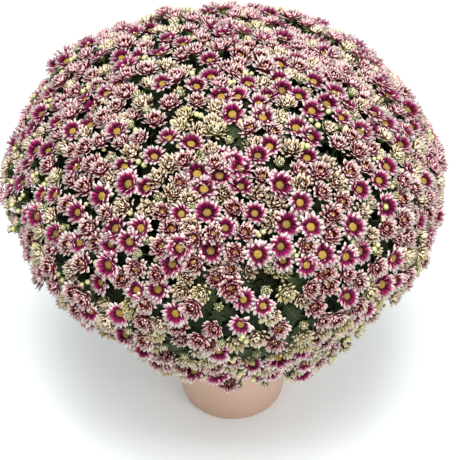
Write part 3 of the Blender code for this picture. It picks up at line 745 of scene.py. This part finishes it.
# Flower heads: petals in a spiral around a seat, in four stages
heads = {
    "stages": ("open", "pink", "cream", "opening"),
    "counts": (8, 6, 4, 3),
    "seeds": (10, 40, 60, 70),
    "extras": ([disc, calyx], [coreLow, youngDisc, calyx], [coreFull, calyx], [budCup]),
    "seed": 5,
    "goldenAngle": 2.39996,
    # how uneven the petals of one head are
    "turn": (-0.10, 0.10),
    "tilt": (-0.16, 0.16),
    "twist": (-0.25, 0.25),
    "length": (0.90, 1.06),
    "width": (0.85, 1.12),
}
headSizes = {  # by stage; a range or a pair of numbers is drawn from at random
    "Petal Outside": ("broad", "cupped", "cupped", "curled"),
    "Petal Inside": ("cupped", "curled", "curled", "curled"),
    "Outer Share": (0.60, 0.36, 0.25, 0.5),
    "Petals": (range(26, 30), range(42, 48), range(44, 50), 20),
    "Tilt Outside": ((0.06, 0.34), (0.10, 0.26), (0.22, 0.42), (0.55, 0.75)),
    "Tilt Inside": ((0.55, 0.82), (1.05, 1.30), (1.35, 1.45), 1.45),
    "Seat Outside": (0.0048, 0.0060, 0.0062, 0.0040),
    "Seat Inside": (0.0046, 0.0024, 0.0004, 0.0004),
    "Rise": (0.0020, 0.0040, 0.0050, 0.0034),
    "Length Outside": (0.0146, 0.0120, 0.0108, 0.0066),
    "Length Inside": (0.0112, 0.0062, 0.0056, 0.0046),
    "Width": (1.08, 1.20, 1.22, 1.35),
    "Unevenness": (1.3, 1.5, 1.6, 1.0),
}


def headTree():
    inputs = {"Geometry": "Geometry", **dict.fromkeys(headSizes, "Float"), "Petal Outside": "Object",
              "Petal Inside": "Object", "Petals": "Int", "Seed": "Int"}
    tree, given, ids = newTree("GeometryNodeTree", "flowerHead", inputs, {"Geometry": "Geometry"})

    def anyValue(name, offset):
        low, high = heads[name]
        return fields(tree, "FunctionNodeRandomValue", {2: low, 3: high, "Seed": given["Seed"] + offset},
                      data_type="FLOAT")[1]

    def between(share, label):
        return fields(tree, "ShaderNodeMapRange", {"Value": share, "To Min": given[label + " Outside"],
                                                   "To Max": given[label + " Inside"]}, clamp=False)[0]

    def vector(*parts):
        return fields(tree, "ShaderNodeCombineXYZ", dict(enumerate(parts)))[0]

    index = fields(tree, "GeometryNodeInputIndex", {})[0]
    share = index / (given["Petals"] - 1.0)
    # spread keeps the petals as close together near the rim as in the middle
    spread = 1.0 - (1.0 - share).maths("MAXIMUM", 0.0).maths("SQRT")
    uneven = given["Unevenness"]
    turn = index * heads["goldenAngle"] + anyValue("turn", 1) * uneven
    tilt = between(spread, "Tilt") + anyValue("tilt", 2) * uneven
    seat = between(spread, "Seat")
    place = vector(turn.maths("COSINE") * seat, turn.maths("SINE") * seat, share * given["Rise"])
    facing = vector(anyValue("twist", 3) * uneven, tilt * -1.0, turn)
    length = between(share, "Length") * anyValue("length", 4)
    size = vector(length, length * given["Width"] * anyValue("width", 5), length)
    points = fields(tree, "GeometryNodePoints", {"Count": given["Petals"]})[0]
    placed = fields(tree, "GeometryNodeSetPosition", {"Geometry": points, "Position": place})[0]
    tone = fields(tree, "FunctionNodeRandomValue", {4: 0, 5: strip["petalTones"] - 1,
                                                    "Seed": given["Seed"] + 6}, data_type="INT")[2]
    toned = fields(tree, "GeometryNodeStoreNamedAttribute", {
        "Geometry": placed, "Name": "petalTone", "Value": tone}, data_type="INT", domain="POINT")[0]
    isInner = fields(tree, "FunctionNodeCompare", {0: share, 1: given["Outer Share"]},
                     data_type="FLOAT", operation="GREATER_THAN")[0]
    isOuter = fields(tree, "FunctionNodeBooleanMath", {0: isInner}, operation="NOT")[0]
    both = node(tree, "GeometryNodeJoinGeometry", {})
    for label, chosen in (("Petal Inside", isInner), ("Petal Outside", isOuter)):
        shape = node(tree, "GeometryNodeObjectInfo", {"Object": given[label]}).outputs["Geometry"]
        copies = fields(tree, "GeometryNodeInstanceOnPoints", {
            "Points": toned, "Selection": chosen, "Instance": Field(tree, shape), "Rotation": facing,
            "Scale": size})[0]
        wire(both, {0: copies})
    real = fields(tree, "GeometryNodeRealizeInstances", {"Geometry": Field(tree, both.outputs[0])})[0]
    putOut(tree, fields(tree, "GeometryNodeSetMaterial", {"Geometry": real, "Material": petalSkin})[0])
    return tree, ids


headNodes, headIds = headTree()


def drawn(value, pick):
    if isinstance(value, range):
        return pick.choice(value)
    return pick.uniform(*value) if isinstance(value, tuple) else value


def flowerHead(name, values, extras):
    # one head as a plain mesh, with its disc, calyx and stalk joined on
    holder = meshObject(name + "Holder", [(0, 0, 0)], [])
    parts = [bpy.data.objects.new(name, grown(holder, headNodes, headIds, values))]
    parts += [bpy.data.objects.new(name + "Extra", extra.data.copy()) for extra in extras]
    for part in parts:
        bpy.context.scene.collection.objects.link(part)
    head = joined(parts)
    bpy.context.scene.collection.objects.unlink(head)
    return head


def makeHeads():
    pick = random.Random(heads["seed"])
    made, kinds = [], {}
    for column, stage in enumerate(heads["stages"]):
        first = len(made)
        for k in range(heads["counts"][column]):
            values = {label: drawn(row[column], pick) for label, row in headSizes.items()}
            for label in ("Petal Outside", "Petal Inside"):
                values[label] = petals[values[label]]
            values["Seed"] = heads["seeds"][column] + k
            made.append(flowerHead("head%02d" % len(made), values, heads["extras"][column]))
        kinds[stage] = range(first, len(made))
    kinds["bud"] = range(len(made), len(made) + 1)
    made.append(bpy.data.objects.new("head%02d" % len(made), smallBud.data.copy()))
    for stage, own in kinds.items():
        print(stage, "head triangles", trianglesOf(made[own[0]]))
    group = bpy.data.collections.new("heads")
    for head in made:
        group.objects.link(head)
    return group, kinds


headGroup, headKinds = makeHeads()

# Where the heads stand
blooms = {
    "count": 1155,
    "rounds": 14,
    "thinBelow": 0.25,  # the lower side has fewer, ever more so towards the pot
    "thinning": (0.90, 1.10, 0.32),  # share kept there, how fast it falls, and the least
    "shares": {"open": 0.37, "pink": 0.37, "cream": 0.22, "opening": 0.04},
    "lowShares": {"open": 0.15, "pink": 0.25, "cream": 0.46, "opening": 0.14},
    "lowEdge": (0.06, 0.20, 0.18),  # where those begin, how ragged, and how much higher on the left
    "greener": (0.65, 0.26),  # share of cream heads with greener tips, low down and elsewhere
    "clumps": 170,
    "clumpDepth": (-0.008, 0.006),
    "size": (0.90, 1.14),
    "depth": (0.003, 0.011),
    "lateDepth": 0.003,
    "lift": (0.14, 0.75, 0.12),  # how far they turn up: everywhere, underneath and on the sides
    "loose": (0.27, 0.25),  # how freely they face: everywhere and underneath
    "seed": 23,
}

buds = {
    "groups": 300,
    "inGroup": (1, 2, 2, 3, 3, 4),
    "above": 0.170,
    "apart": 0.022,
    "gap": 0.0145,  # the gaps between blooms that are wider than this come first, in any order
    "tries": 9000,
    "spread": 0.026,
    "share": 0.85,  # the others are opening
    "size": (0.72, 1.02),
    "depth": (0.0, 0.010),
}

anyTurn = 6.28  # a full turn, near enough for what may face any way

# Places where leaves show between the blooms
windowLook = {
    # in the frame: pixel across, pixel down, width in pixels
    "seen": [
        (230, 140, 15), (207, 112, 7), (184, 356, 21), (256, 355, 22), (38, 182, 8), (385, 247, 8),
        (218, 308, 14), (154, 311, 9), (194, 322, 10), (256, 322, 9), (304, 325, 14), (128, 331, 13),
        (156, 170, 5), (189, 188, 5), (221, 248, 5), (259, 207, 4), (291, 184, 4), (301, 285, 6),
        (170, 301, 8), (330, 300, 8), (95, 215, 7), (100, 270, 6), (360, 270, 6), (290, 345, 10),
        (164, 348, 14), (232, 337, 9), (330, 335, 10), (115, 300, 8), (60, 200, 7), (85, 240, 7),
        (112, 182, 5), (75, 158, 5), (120, 252, 6), (92, 128, 5), (140, 205, 5), (56, 120, 5),
        (345, 222, 5), (300, 225, 5), (270, 262, 6), (240, 285, 6), (200, 280, 6), (150, 280, 6),
        (285, 130, 4), (330, 160, 4), (175, 90, 4), (250, 75, 4), (310, 90, 4), (288, 313, 11),
    ],
    "pixel": 0.00135,  # on the ball
    "unseen": 60,  # drawn from all round; those on the sides and the back are kept
    "unseenWidth": (0.008, 0.016),
    "lowFrom": -0.2,
    "lowWidth": 1.25,
    "highWidth": 0.8,
    "rosetteFrom": 0.015,  # a wider one holds a cluster of leaves and an opening bud
}


def leafWindows():
    pick = random.Random(blooms["seed"])
    found = []
    for x, y, wide in windowLook["seen"]:
        d = throughPixel(x, y)
        if d is not None:
            found.append((d, wide * windowLook["pixel"]))
    for _ in range(windowLook["unseen"]):
        d = anyDirection(pick)
        if normalOf(d).dot((cameraPlace - surface(d, 0)).normalized()) > 0.25:
            continue
        share = windowLook["lowWidth" if d.z < windowLook["lowFrom"] else "highWidth"]
        found.append((d, pick.uniform(*windowLook["unseenWidth"]) * share))
    return found


windows = leafWindows()


def headSites():
    keep = np.ones(len(samplePoints), bool)
    for d, wide in windows:
        middle = np.array(ball["heart"] + d * reachOf(d))
        keep &= np.linalg.norm(samplePoints - middle, axis=1) > wide
    most, fall, least = blooms["thinning"]
    above = sampleDirs[:, 2] - blooms["thinBelow"]
    keep &= (above > 0) | (draw.rand(len(samplePoints)) < np.clip(most + fall * above, least, 1.0))
    points = samplePoints[keep]
    starts = points[draw.choice(len(points), blooms["count"], replace=False)]
    return settle(points, starts, blooms["rounds"]), points


def facingOf(d, pick):
    # blooms look outwards, and the lower ones turn up towards the light
    n = normalOf(d)
    under = max(0.0, -n.z)
    lift, liftUnder, liftSides = blooms["lift"]
    loose, looseUnder = blooms["loose"]
    up = Vector((0.0, 0.0, lift + liftUnder * under + liftSides * (1 - abs(n.z))))
    return (n + up + anyShift(pick) * (loose + looseUnder * under)).normalized()


def headOf(stage, pick):
    return pick.choice(headKinds[stage]), pick.choice(strip["bloomTones"][stage])


def bloomStage(chance, shares):
    for stage, share in shares.items():
        if chance < share:
            return stage
        chance -= share
    return "opening"


def layOutBlooms(sites, pick):
    placed = []
    # neighbours that share a stalk stand out or lie back together
    clumpTable = np.array([tuple(anyDirection(pick)) for _ in range(blooms["clumps"])])
    clumpDepths = [pick.uniform(*blooms["clumpDepth"]) for _ in range(blooms["clumps"])]
    edgeHeight, ragged, leftward = blooms["lowEdge"]
    for d in sites:
        chance = pick.random()
        # the shaded lower side and the left are later, so fewer blooms are open there
        edge = edgeHeight + pick.uniform(-ragged, ragged) + leftward * max(0.0, -d.x)
        stage = bloomStage(chance, blooms["lowShares" if d.z < edge else "shares"])
        kind, tone = headOf(stage, pick)
        if stage == "cream" and pick.random() < blooms["greener"][0 if d.z < edge + 0.1 else 1]:
            tone = pick.choice(strip["bloomTones"]["opening"])
        size = pick.uniform(*blooms["size"])
        late = blooms["lateDepth"] if stage in ("cream", "opening") else 0.0
        depth = pick.uniform(*blooms["depth"]) + late
        depth += clumpDepths[int(np.argmax(clumpTable @ np.array(d)))]
        facing = facingOf(d, pick)
        placed.append((d, surface(d, depth), facing, size, kind, tone, pick.random() * anyTurn))
    for d, wide in windows:
        if wide > windowLook["rosetteFrom"]:
            kind, tone = headOf("opening", pick)
            placed.append((d, surface(d, 0.004), facingOf(d, pick), 0.85, kind, tone, 0.0))
    return placed


def layOutBuds(sites, points, pick):
    # tight buds in small groups, in the wide gaps between the blooms first
    spots = np.array([tuple(surface(d, 0)) for d in sites])
    dirs = [Vector(p) - ball["heart"] for p in points[draw.permutation(len(points))[:buds["tries"]]]]
    warped = np.array([tuple(surface(d, 0)) for d in dirs])
    gaps = np.sqrt(np.maximum(0, ((warped[:, None, :] - spots[None, :, :]) ** 2).sum(2)).min(1))
    placed, taken = [], []
    for k in np.argsort(-np.minimum(gaps, buds["gap"]) - 0.002 * draw.rand(len(gaps))):
        if len(taken) >= buds["groups"]:
            break
        spot = Vector(warped[k])
        if spot.z < buds["above"] or any((spot - other).length < buds["apart"] for other in taken):
            continue
        taken.append(spot)
        for _ in range(pick.choice(buds["inGroup"])):
            near = (dirs[k].normalized() + anyShift(pick) * buds["spread"]).normalized()
            kind, tone = headOf("bud" if pick.random() < buds["share"] else "opening", pick)
            place = surface(near, pick.uniform(*buds["depth"]))
            facing, size = facingOf(near, pick), pick.uniform(*buds["size"])
            placed.append((near, place, facing, size, kind, tone, pick.random() * anyTurn))
    return placed


def layOutHeads():
    pick = random.Random(blooms["seed"] + 1)
    sites, points = headSites()
    placed = layOutBlooms(sites, pick)
    return placed + layOutBuds(sites, points, pick)


placedHeads = layOutHeads()
print("heads placed", len(placedHeads))


# copies on loose points: sprays of blooms, and foliage
def copiesTree():
    tree, given, ids = newTree("GeometryNodeTree", "copiesOnPoints", {
        "Geometry": "Geometry", "Shapes": "Collection", "Columns": "Float", "Columns Per Tone": "Float",
        "Column Fill": "Float", "Skin": "Material", "Skin Below": "Float"}, {"Geometry": "Geometry"})

    def stored(name, kind):
        return fields(tree, "GeometryNodeInputNamedAttribute", {"Name": name}, data_type=kind)[0]

    shapes = fields(tree, "GeometryNodeCollectionInfo", {
        "Collection": given["Shapes"], "Separate Children": True, "Reset Children": True})[0]
    points = fields(tree, "GeometryNodeMeshToPoints", {"Mesh": given["Geometry"]})[0]
    copies = fields(tree, "GeometryNodeInstanceOnPoints", {
        "Points": points, "Instance": shapes, "Pick Instance": True, "Instance Index": stored("kind", "INT"),
        "Rotation": stored("facing", "FLOAT_VECTOR"), "Scale": stored("size", "FLOAT")})[0]
    real = fields(tree, "GeometryNodeRealizeInstances", {"Geometry": copies})[0]
    u, v, _ = fields(tree, "ShaderNodeSeparateXYZ", {0: stored("OFBake", "FLOAT_VECTOR")})
    column = stored("bloomTone", "INT") * given["Columns Per Tone"] + stored("petalTone", "INT")
    across = (u - 0.5) * given["Column Fill"] + 0.5
    spot = fields(tree, "ShaderNodeCombineXYZ", {0: (column + across) / given["Columns"], 1: v})[0]
    mapped = fields(tree, "GeometryNodeStoreNamedAttribute", {
        "Geometry": real, "Name": "OFBake", "Value": spot}, data_type="FLOAT2", domain="CORNER")[0]
    isSkin = fields(tree, "FunctionNodeCompare", {0: v, 1: given["Skin Below"]}, data_type="FLOAT",
                    operation="LESS_THAN")[0]
    putOut(tree, fields(tree, "GeometryNodeSetMaterial", {"Geometry": mapped, "Selection": isSkin,
                                                          "Material": given["Skin"]})[0])
    return tree, ids


copiesNodes, copiesIds = copiesTree()


def copiesOn(name, rows, values):
    # loose points carry what each copy needs, and the tree grows one mesh on them
    holder = meshObject(name + "Points", [row["place"] for row in rows], [])
    for key, kind, part in (("facing", "FLOAT_VECTOR", "vector"), ("size", "FLOAT", "value"),
                            ("kind", "INT", "value"), ("bloomTone", "INT", "value")):
        layer = holder.data.attributes.new(key, kind, "POINT")
        for k, row in enumerate(rows):
            setattr(layer.data[k], part, row[key])
    mesh = grown(holder, copiesNodes, copiesIds, values)
    for key in ("petalTone", "bloomTone", "kind", "facing", "size", "id"):
        if key in mesh.attributes:
            mesh.attributes.remove(mesh.attributes[key])
    mesh.name = name
    made = bpy.data.objects.new(name, mesh)
    bpy.context.scene.collection.objects.link(made)
    return made


def makeSprays():
    values = {"Shapes": headGroup, "Columns": strip["columns"], "Column Fill": 0.88, "Skin": petalSkin,
              "Columns Per Tone": float(strip["petalTones"]),
              "Skin Below": (strip["back"][1] + strip["disc"][0]) / 2}
    groups = [[] for _ in sprayCentres]
    for d, place, axis, size, kind, tone, turn in placedHeads:
        facing = (axis.to_track_quat("Z", "Y").to_matrix() @ Matrix.Rotation(turn, 3, "Z")).to_euler()
        groups[sprayOf(d)].append({"place": place, "facing": facing, "size": size, "kind": kind,
                                   "bloomTone": tone})
    for k, rows in enumerate(groups):
        fitted(copiesOn("sprayBlooms%02d" % (k + 1), rows, values), "blooms_%02d" % (k + 1))
    print("sprays made")


makeSprays()

# Leaves
leafLook = {
    "columns": 12,
    "shadeColumns": 8,  # the dark ones, painted shade for leaves deep among the blooms
    "blade": (0.0, 0.80),  # bands of its strip map
    "stem": (0.83, 0.98),
    # near-black, painted shade for the inside of the ball, where the gaps between blooms fall dark
    "shadeDark": (0.0085, 0.0060, 0.0042),
    "fresh": (0.028, 0.050, 0.017),
    "vein": (0.054, 0.072, 0.032),
    "stalk": (0.085, 0.120, 0.045),
    "veins": 6.0,
    "veinSlant": 0.32,
    "veinWidth": 0.07,
    "midribWidth": 0.05,
}


def leafMaterial():
    look = leafLook
    mat, tree, shader = newMaterial("leaf")
    column, across, along, petalChance, _, _ = stripTones(tree, float(look["columns"]), look["blade"])
    side = abs(across - 0.5) * 2.0
    # side veins run up and out from the midrib
    phase = ((along - side * look["veinSlant"]) * look["veins"]).maths("FRACT")
    vein = abs(phase - 0.5) < look["veinWidth"]
    veins = (side < look["midribWidth"]).maths("MAXIMUM", vein * 0.6)
    # the dark columns keep the painted shade colour; the others, and a random share, go towards fresh green
    brightShare = (column > look["shadeColumns"] - 0.5) * 0.40 + petalChance.maths("POWER", 1.8) * 0.5
    colour = mix(tree, veins * 0.7, mix(tree, brightShare, look["shadeDark"], look["fresh"]), look["vein"])
    colour = mix(tree, along > 1.01, colour, look["stalk"])
    wire(shader, {"Base Color": colour, "Roughness": 0.65, "Specular IOR Level": 0.10,
                  "Normal": bump(1.0 - veins, 0.35, 0.0006)})
    return mat


leafSkin = leafMaterial()

leaf = {
    # place along the midrib, half width
    "outline": [(0.00, 0.030), (0.12, 0.050), (0.24, 0.280), (0.33, 0.260), (0.38, 0.150), (0.50, 0.350),
                (0.60, 0.350), (0.66, 0.190), (0.80, 0.240), (0.90, 0.150), (1.00, 0.0)],
    "thickness": 0.010,
    "arch": 0.10,
    "fold": 0.30,
    "droop": 0.22,
}


def leafShape():
    # lobed blade with a fold along the midrib, closed below
    outline, verts, faces = leaf["outline"], [], []

    def lift(share, wide):
        return leaf["arch"] * math.sin(share * math.pi) + leaf["fold"] * wide - leaf["droop"] * share * share

    for drop in (0.0, -leaf["thickness"]):
        verts += [(share, 0.0, lift(share, 0) + drop) for share, _ in outline]
        for sign in (-1, 1):
            verts += [(share, sign * wide, lift(share, wide) + drop * 0.4) for share, wide in outline[:-1]]
    count = len(outline)
    each = count + 2 * (count - 1)
    for start in (0, each):
        for s in (0, 1):
            edge = start + count + s * (count - 1)
            step = 1 if (s == 1) != (start == each) else -1
            for k in range(count - 2):
                faces.append((start + k, start + k + 1, edge + k + 1, edge + k)[::step])
            faces.append((start + count - 2, start + count - 1, edge + count - 2)[::step])
    for top in (count, 2 * count - 1):
        low = each + top
        for k in range(count - 2):
            faces.append((top + k, top + k + 1, low + k + 1, low + k))
        faces.append((top + count - 2, count - 1, each + count - 1, low + count - 2))
    faces += [(0, count, each + count, each), (0, 2 * count - 1, each + 2 * count - 1, each)]

    def places(vert, _):
        x, y = verts[vert][:2]
        return (0.5 + y * 1.35, 0.78 * x + 0.005) if vert < each else (0.5 + y * 1.27, 0.77 * x + 0.010)

    return closedBody("leafBlade", verts, faces, leafSkin, places, link=False)


leafBlade = leafShape()
leafGroup = bpy.data.collections.new("leaves")
leafGroup.objects.link(leafBlade)
print("leaf triangles", trianglesOf(leafBlade))

foliage = {
    # count, depth below the blooms and size
    "layers": [(600, (0.029, 0.038), (0.040, 0.060)), (430, (0.044, 0.062), (0.058, 0.080))],
    "layerTilt": (-0.1, 0.2),
    "windowDepth": (0.016, 0.023),
    "windowTilt": (-0.05, 0.10),
    "rosetteSize": (1.5, 1.8),
    "rosetteLeaves": 5,
    "rosetteTurn": 2.4,
    "rosetteTilt": 0.04,
    "rosetteDepth": (0.012, 0.001),  # of the first leaf, and how much deeper each next one is
    "freshShare": {"layer": 0.03, "window": 0.25, "rosette": 0.75},  # share of fresh green leaves; the rest are dark with painted shade, nearly all of them in the inner layers
    "lowFresh": 0.32,  # and more fresh green ones on the lower side
    "lowBelow": 0.12,
    "seed": 77,
}


def leafRows():
    pick = random.Random(foliage["seed"])
    rows = [[] for _ in sprayCentres]

    def addRow(d, n, along, lift, spot, shift, size, where):
        # a leaf along that direction, tilted up by lift and moved along it, its face turned outwards
        along = (along + n * lift).normalized()
        face = (n - along * n.dot(along)).normalized()
        turn = Matrix((along, face.cross(along), face)).transposed().to_euler()
        # leaves deep inside mostly get the dark columns, whose colour is painted shade
        darkCount = leafLook["shadeColumns"]
        freshShare = foliage["freshShare"][where] + (foliage["lowFresh"] if d.z < foliage["lowBelow"] else 0.0)
        tones = range(darkCount, leafLook["columns"]) if pick.random() < freshShare else range(darkCount)
        rows[sprayOf(d)].append({"place": spot + along * shift, "facing": turn, "size": size, "kind": 0,
                                 "bloomTone": pick.choice(tones)})

    def add(d, depth, size, tilt, where):
        n = normalOf(d)
        spin = pick.random() * 2 * math.pi
        side = n.cross(Vector((0.3, 0.2, 1.0))).normalized()
        along = (side * math.cos(spin) + n.cross(side) * math.sin(spin)).normalized()
        if along.z > 0.3 and pick.random() < 0.6:
            along = -along
        addRow(d, n, along, tilt, surface(d, depth), -0.5 * size, size, where)

    def addRosette(d, wide):
        # leaves that spread from one shoot, with a bud in the middle
        n = normalOf(d)
        side = n.cross(Vector((0.2, 0.1, 1.0))).normalized()
        start = pick.random() * anyTurn
        for k in range(foliage["rosetteLeaves"]):
            spin = start + foliage["rosetteTurn"] * k
            along = side * math.cos(spin) + n.cross(side) * math.sin(spin)
            depth, step = foliage["rosetteDepth"]
            spot = surface(d, depth + step * k)
            size = wide * pick.uniform(*foliage["rosetteSize"])
            addRow(d, n, along, foliage["rosetteTilt"], spot, 0.002, size, "rosette")

    for count, depth, size in foliage["layers"]:
        for _ in range(count):
            d = anyDirection(pick)
            add(d, pick.uniform(*depth), pick.uniform(*size), pick.uniform(*foliage["layerTilt"]), "layer")
    for d, wide in windows:
        if wide > windowLook["rosetteFrom"]:
            addRosette(d, wide)
            continue
        for _ in range(2):
            near = (d + anyShift(pick) * wide / 0.5).normalized()
            add(near, pick.uniform(*foliage["windowDepth"]), min(0.060, 0.034 + wide * 1.2),
                pick.uniform(*foliage["windowTilt"]), "window")
    return rows


# Stems
stems = {
    "foot": 0.0042,
    "tip": 0.0026,
    "branch": (0.0016, 0.0012, 0.0011, 0.0009),  # from where it leaves the stem to its bloom
    "branchFrom": (0.62, 0.88),  # along the stem
    "ring": 0.060,
    "soilTop": 0.136,
    "sunk": 0.020,
    "under": 0.0258,  # the spray's seat below its blooms
    # shares of its length: how far it rises, leans out and runs straight into its seat
    "rise": 0.42,
    "lean": 0.10,
    "hold": 0.30,
}


def bezier(a, b, c, d, t):
    s = 1 - t
    return a * s ** 3 + b * (3 * s * s * t) + c * (3 * s * t * t) + d * t ** 3


def stemPath(d):
    polar = math.acos(max(-1.0, min(1.0, d.z)))
    out = Vector((d.x, d.y, 0.0))
    out = out.normalized() if out.length > 1e-6 else Vector((1.0, 0.0, 0.0))
    base = out * stems["ring"] * min(1.0, polar / math.radians(115)) ** 0.9
    end, n = surface(d, stems["under"]), normalOf(d)
    rise = Vector((base.x, base.y, stems["soilTop"] + stems["sunk"])) + out * 0.004
    span = (end - rise).length
    bend = rise + Vector((0.0, 0.0, stems["rise"] * span)) + out * stems["lean"] * span
    hold = end - n * (stems["hold"] * span)
    path = [Vector((base.x, base.y, stems["soilTop"] - stems["sunk"]))]
    return path + [bezier(rise, bend, hold, end, k / 11) for k in range(12)]


def tube(path, wide, sides, verts, faces, bands):
    side, rings = Vector((1.0, 0.0, 0.0)), []
    for k, point in enumerate(path):
        along = (path[min(k + 1, len(path) - 1)] - path[max(k - 1, 0)]).normalized()
        side = side - along * side.dot(along)
        if side.length < 1e-3:
            side = along.orthogonal()
        side.normalize()
        other = along.cross(side)
        rings.append(range(len(verts), len(verts) + sides))
        for j in range(sides):
            turn = 2 * math.pi * j / sides
            verts.append(point + (side * math.cos(turn) + other * math.sin(turn)) * wide[k])
            bands.append((j / sides, k / (len(path) - 1) + 0.02 * (j / sides) ** 2))
    faces += ringFaces(rings) + [tuple(reversed(rings[0])), tuple(rings[-1])]


def stemTubes(centre, branches, pick):
    # one main stem, and a thin branch from it to each bloom
    verts, faces, bands = [], [], []
    path = stemPath(centre)
    count = len(path)
    wide = [stems["foot"] + (stems["tip"] - stems["foot"]) * j / (count - 1) for j in range(count)]
    tube(path, wide, 8, verts, faces, bands)
    for place, axis, size in branches:
        end = place - axis * 0.024 * size
        foot = path[int(count * pick.uniform(*stems["branchFrom"]))]
        middle = foot.lerp(end, 0.55) - normalOf((end - ball["heart"]).normalized()) * 0.012
        tube([foot, middle, end, place - axis * 0.012 * size], stems["branch"], 3, verts, faces, bands)

    def places(vert, _):
        return 0.02 + bands[vert][0] * 0.06, onBand(leafLook["stem"], bands[vert][1])

    return closedBody("stemTubes", verts, faces, leafSkin, places)


def makeGreens():
    values = {"Shapes": leafGroup, "Columns": float(leafLook["columns"]), "Columns Per Tone": 1.0,
              "Column Fill": 0.90, "Skin": leafSkin, "Skin Below": 2.0}
    rows = leafRows()
    branches = [[] for _ in sprayCentres]
    for d, place, axis, size, *_ in placedHeads:
        branches[sprayOf(d)].append((place, axis, size))
    for k, centre in enumerate(sprayCentres):
        name = "leafyStem%02d" % (k + 1)
        tubes = stemTubes(centre, branches[k], random.Random(k))
        fitted(joined([copiesOn(name, rows[k], values), tubes]), "leafy_stem_%02d" % (k + 1))
    print("stems and leaves made")


makeGreens()

# Pot and soil
pot = {
    "height": 0.150,
    "footRadius": 0.0745,
    "bodyTopRadius": 0.0945,
    "rimRadius": 0.1020,
    "rimLow": 0.122,
    "wall": 0.003,
    "sides": 96,
    "colour": (0.480, 0.290, 0.200),
    "dust": (0.640, 0.480, 0.390),
}

soil = {
    "gap": 0.0004,
    "edge": 0.1340,
    "shoulder": 0.1345,
    "dome": 0.0050,
    "top": 0.1400,
    "rings": 9,
    "sides": 48,
    "crumbAbove": 0.1342,
    "crumb": (-0.0022, 0.0006),
    "seed": 3,
    "wet": (0.012, 0.008, 0.006),
    "damp": (0.050, 0.032, 0.020),
    "dry": (0.110, 0.075, 0.050),
    "grit": (0.45, 0.40, 0.33),
    "crumbs": [(0.0, "wet"), (0.6, "damp"), (0.82, "dry"), (1.0, "grit")],
}


def grainOf(tree, scale, contrast):
    return fields(tree, "ShaderNodeGroup", {"Scale": scale, "Contrast": contrast}, node_tree=grainTree)


def potMaterial():
    mat, tree, shader = newMaterial("terracotta plastic")
    broad, fine = grainOf(tree, 14.0, 1.6)
    wire(shader, {"Base Color": mix(tree, broad * 0.45, pot["colour"], pot["dust"]),
                  "Roughness": fine * 0.25 + 0.40, "Normal": bump(fine, 0.12, 0.0004)})
    return mat


def soilMaterial():
    mat, tree, shader = newMaterial("potting soil")
    broad, fine = grainOf(tree, 120.0, 2.4)
    wire(shader, {"Base Color": ramp(broad, soil, "crumbs"), "Roughness": 0.95,
                  "Normal": bump(fine, 0.8, 0.002)})
    return mat


def roundedProfile(corners):
    # corner points with a radius become short arcs
    result = []
    for k, (x, z, radius) in enumerate(corners):
        here = Vector((x, z))
        if radius == 0:
            result.append((x, z))
            continue
        before, after = Vector(corners[k - 1][:2]), Vector(corners[k + 1][:2])
        a = here + (before - here).normalized() * radius
        b = here + (after - here).normalized() * radius
        for t in (0.0, 0.25, 0.5, 0.75, 1.0):
            result.append(tuple(a * (1 - t) ** 2 + here * (2 * t * (1 - t)) + b * t ** 2))
    return result


def makePot():
    wall, foot, top = pot["wall"], pot["footRadius"], pot["bodyTopRadius"]
    rim, height, low = pot["rimRadius"], pot["height"], pot["rimLow"]
    # radius, height and rounding of each corner, up the outside and down the inside
    corners = [
        (0.0, 0.0, 0), (foot - 0.0005, 0.0, 0.003), (top, low, 0.001), (rim - 0.0014, low + 0.0015, 0.0012),
        (rim, height, 0.0018), (rim - 0.0042, height, 0.0015), (top - wall, low, 0.004),
        (foot - wall, wall, 0.003), (0.0, wall, 0),
    ]
    shell = closedBody("potShell", *turnedRings(roundedProfile(corners), pot["sides"]), potMaterial())
    fitted(shell, "pot")


def makeSoil():
    pick = random.Random(soil["seed"])
    floor, brim = pot["wall"] + soil["gap"], pot["bodyTopRadius"] - pot["wall"] + 0.0018
    profile = [(0.0, floor), (pot["footRadius"] - pot["wall"] - 0.0005, floor),
               (pot["bodyTopRadius"] - pot["wall"] - soil["gap"], pot["rimLow"]), (brim, soil["edge"])]
    for k in range(1, soil["rings"]):
        share = k / soil["rings"]
        profile.append((brim * (1 - share), soil["shoulder"] + soil["dome"] * math.sin(share * math.pi / 2)))
    profile.append((0.0, soil["top"]))
    plug = closedBody("pottingSoil", *turnedRings(profile, soil["sides"]), soilMaterial())
    for vert in plug.data.vertices:
        if vert.co.z > soil["crumbAbove"]:
            vert.co.z += pick.uniform(*soil["crumb"])
    fitted(plug, "soil")


makePot()
makeSoil()
print("pot and soil made, triangles in all", sum(trianglesOf(piece) for piece in pieces))
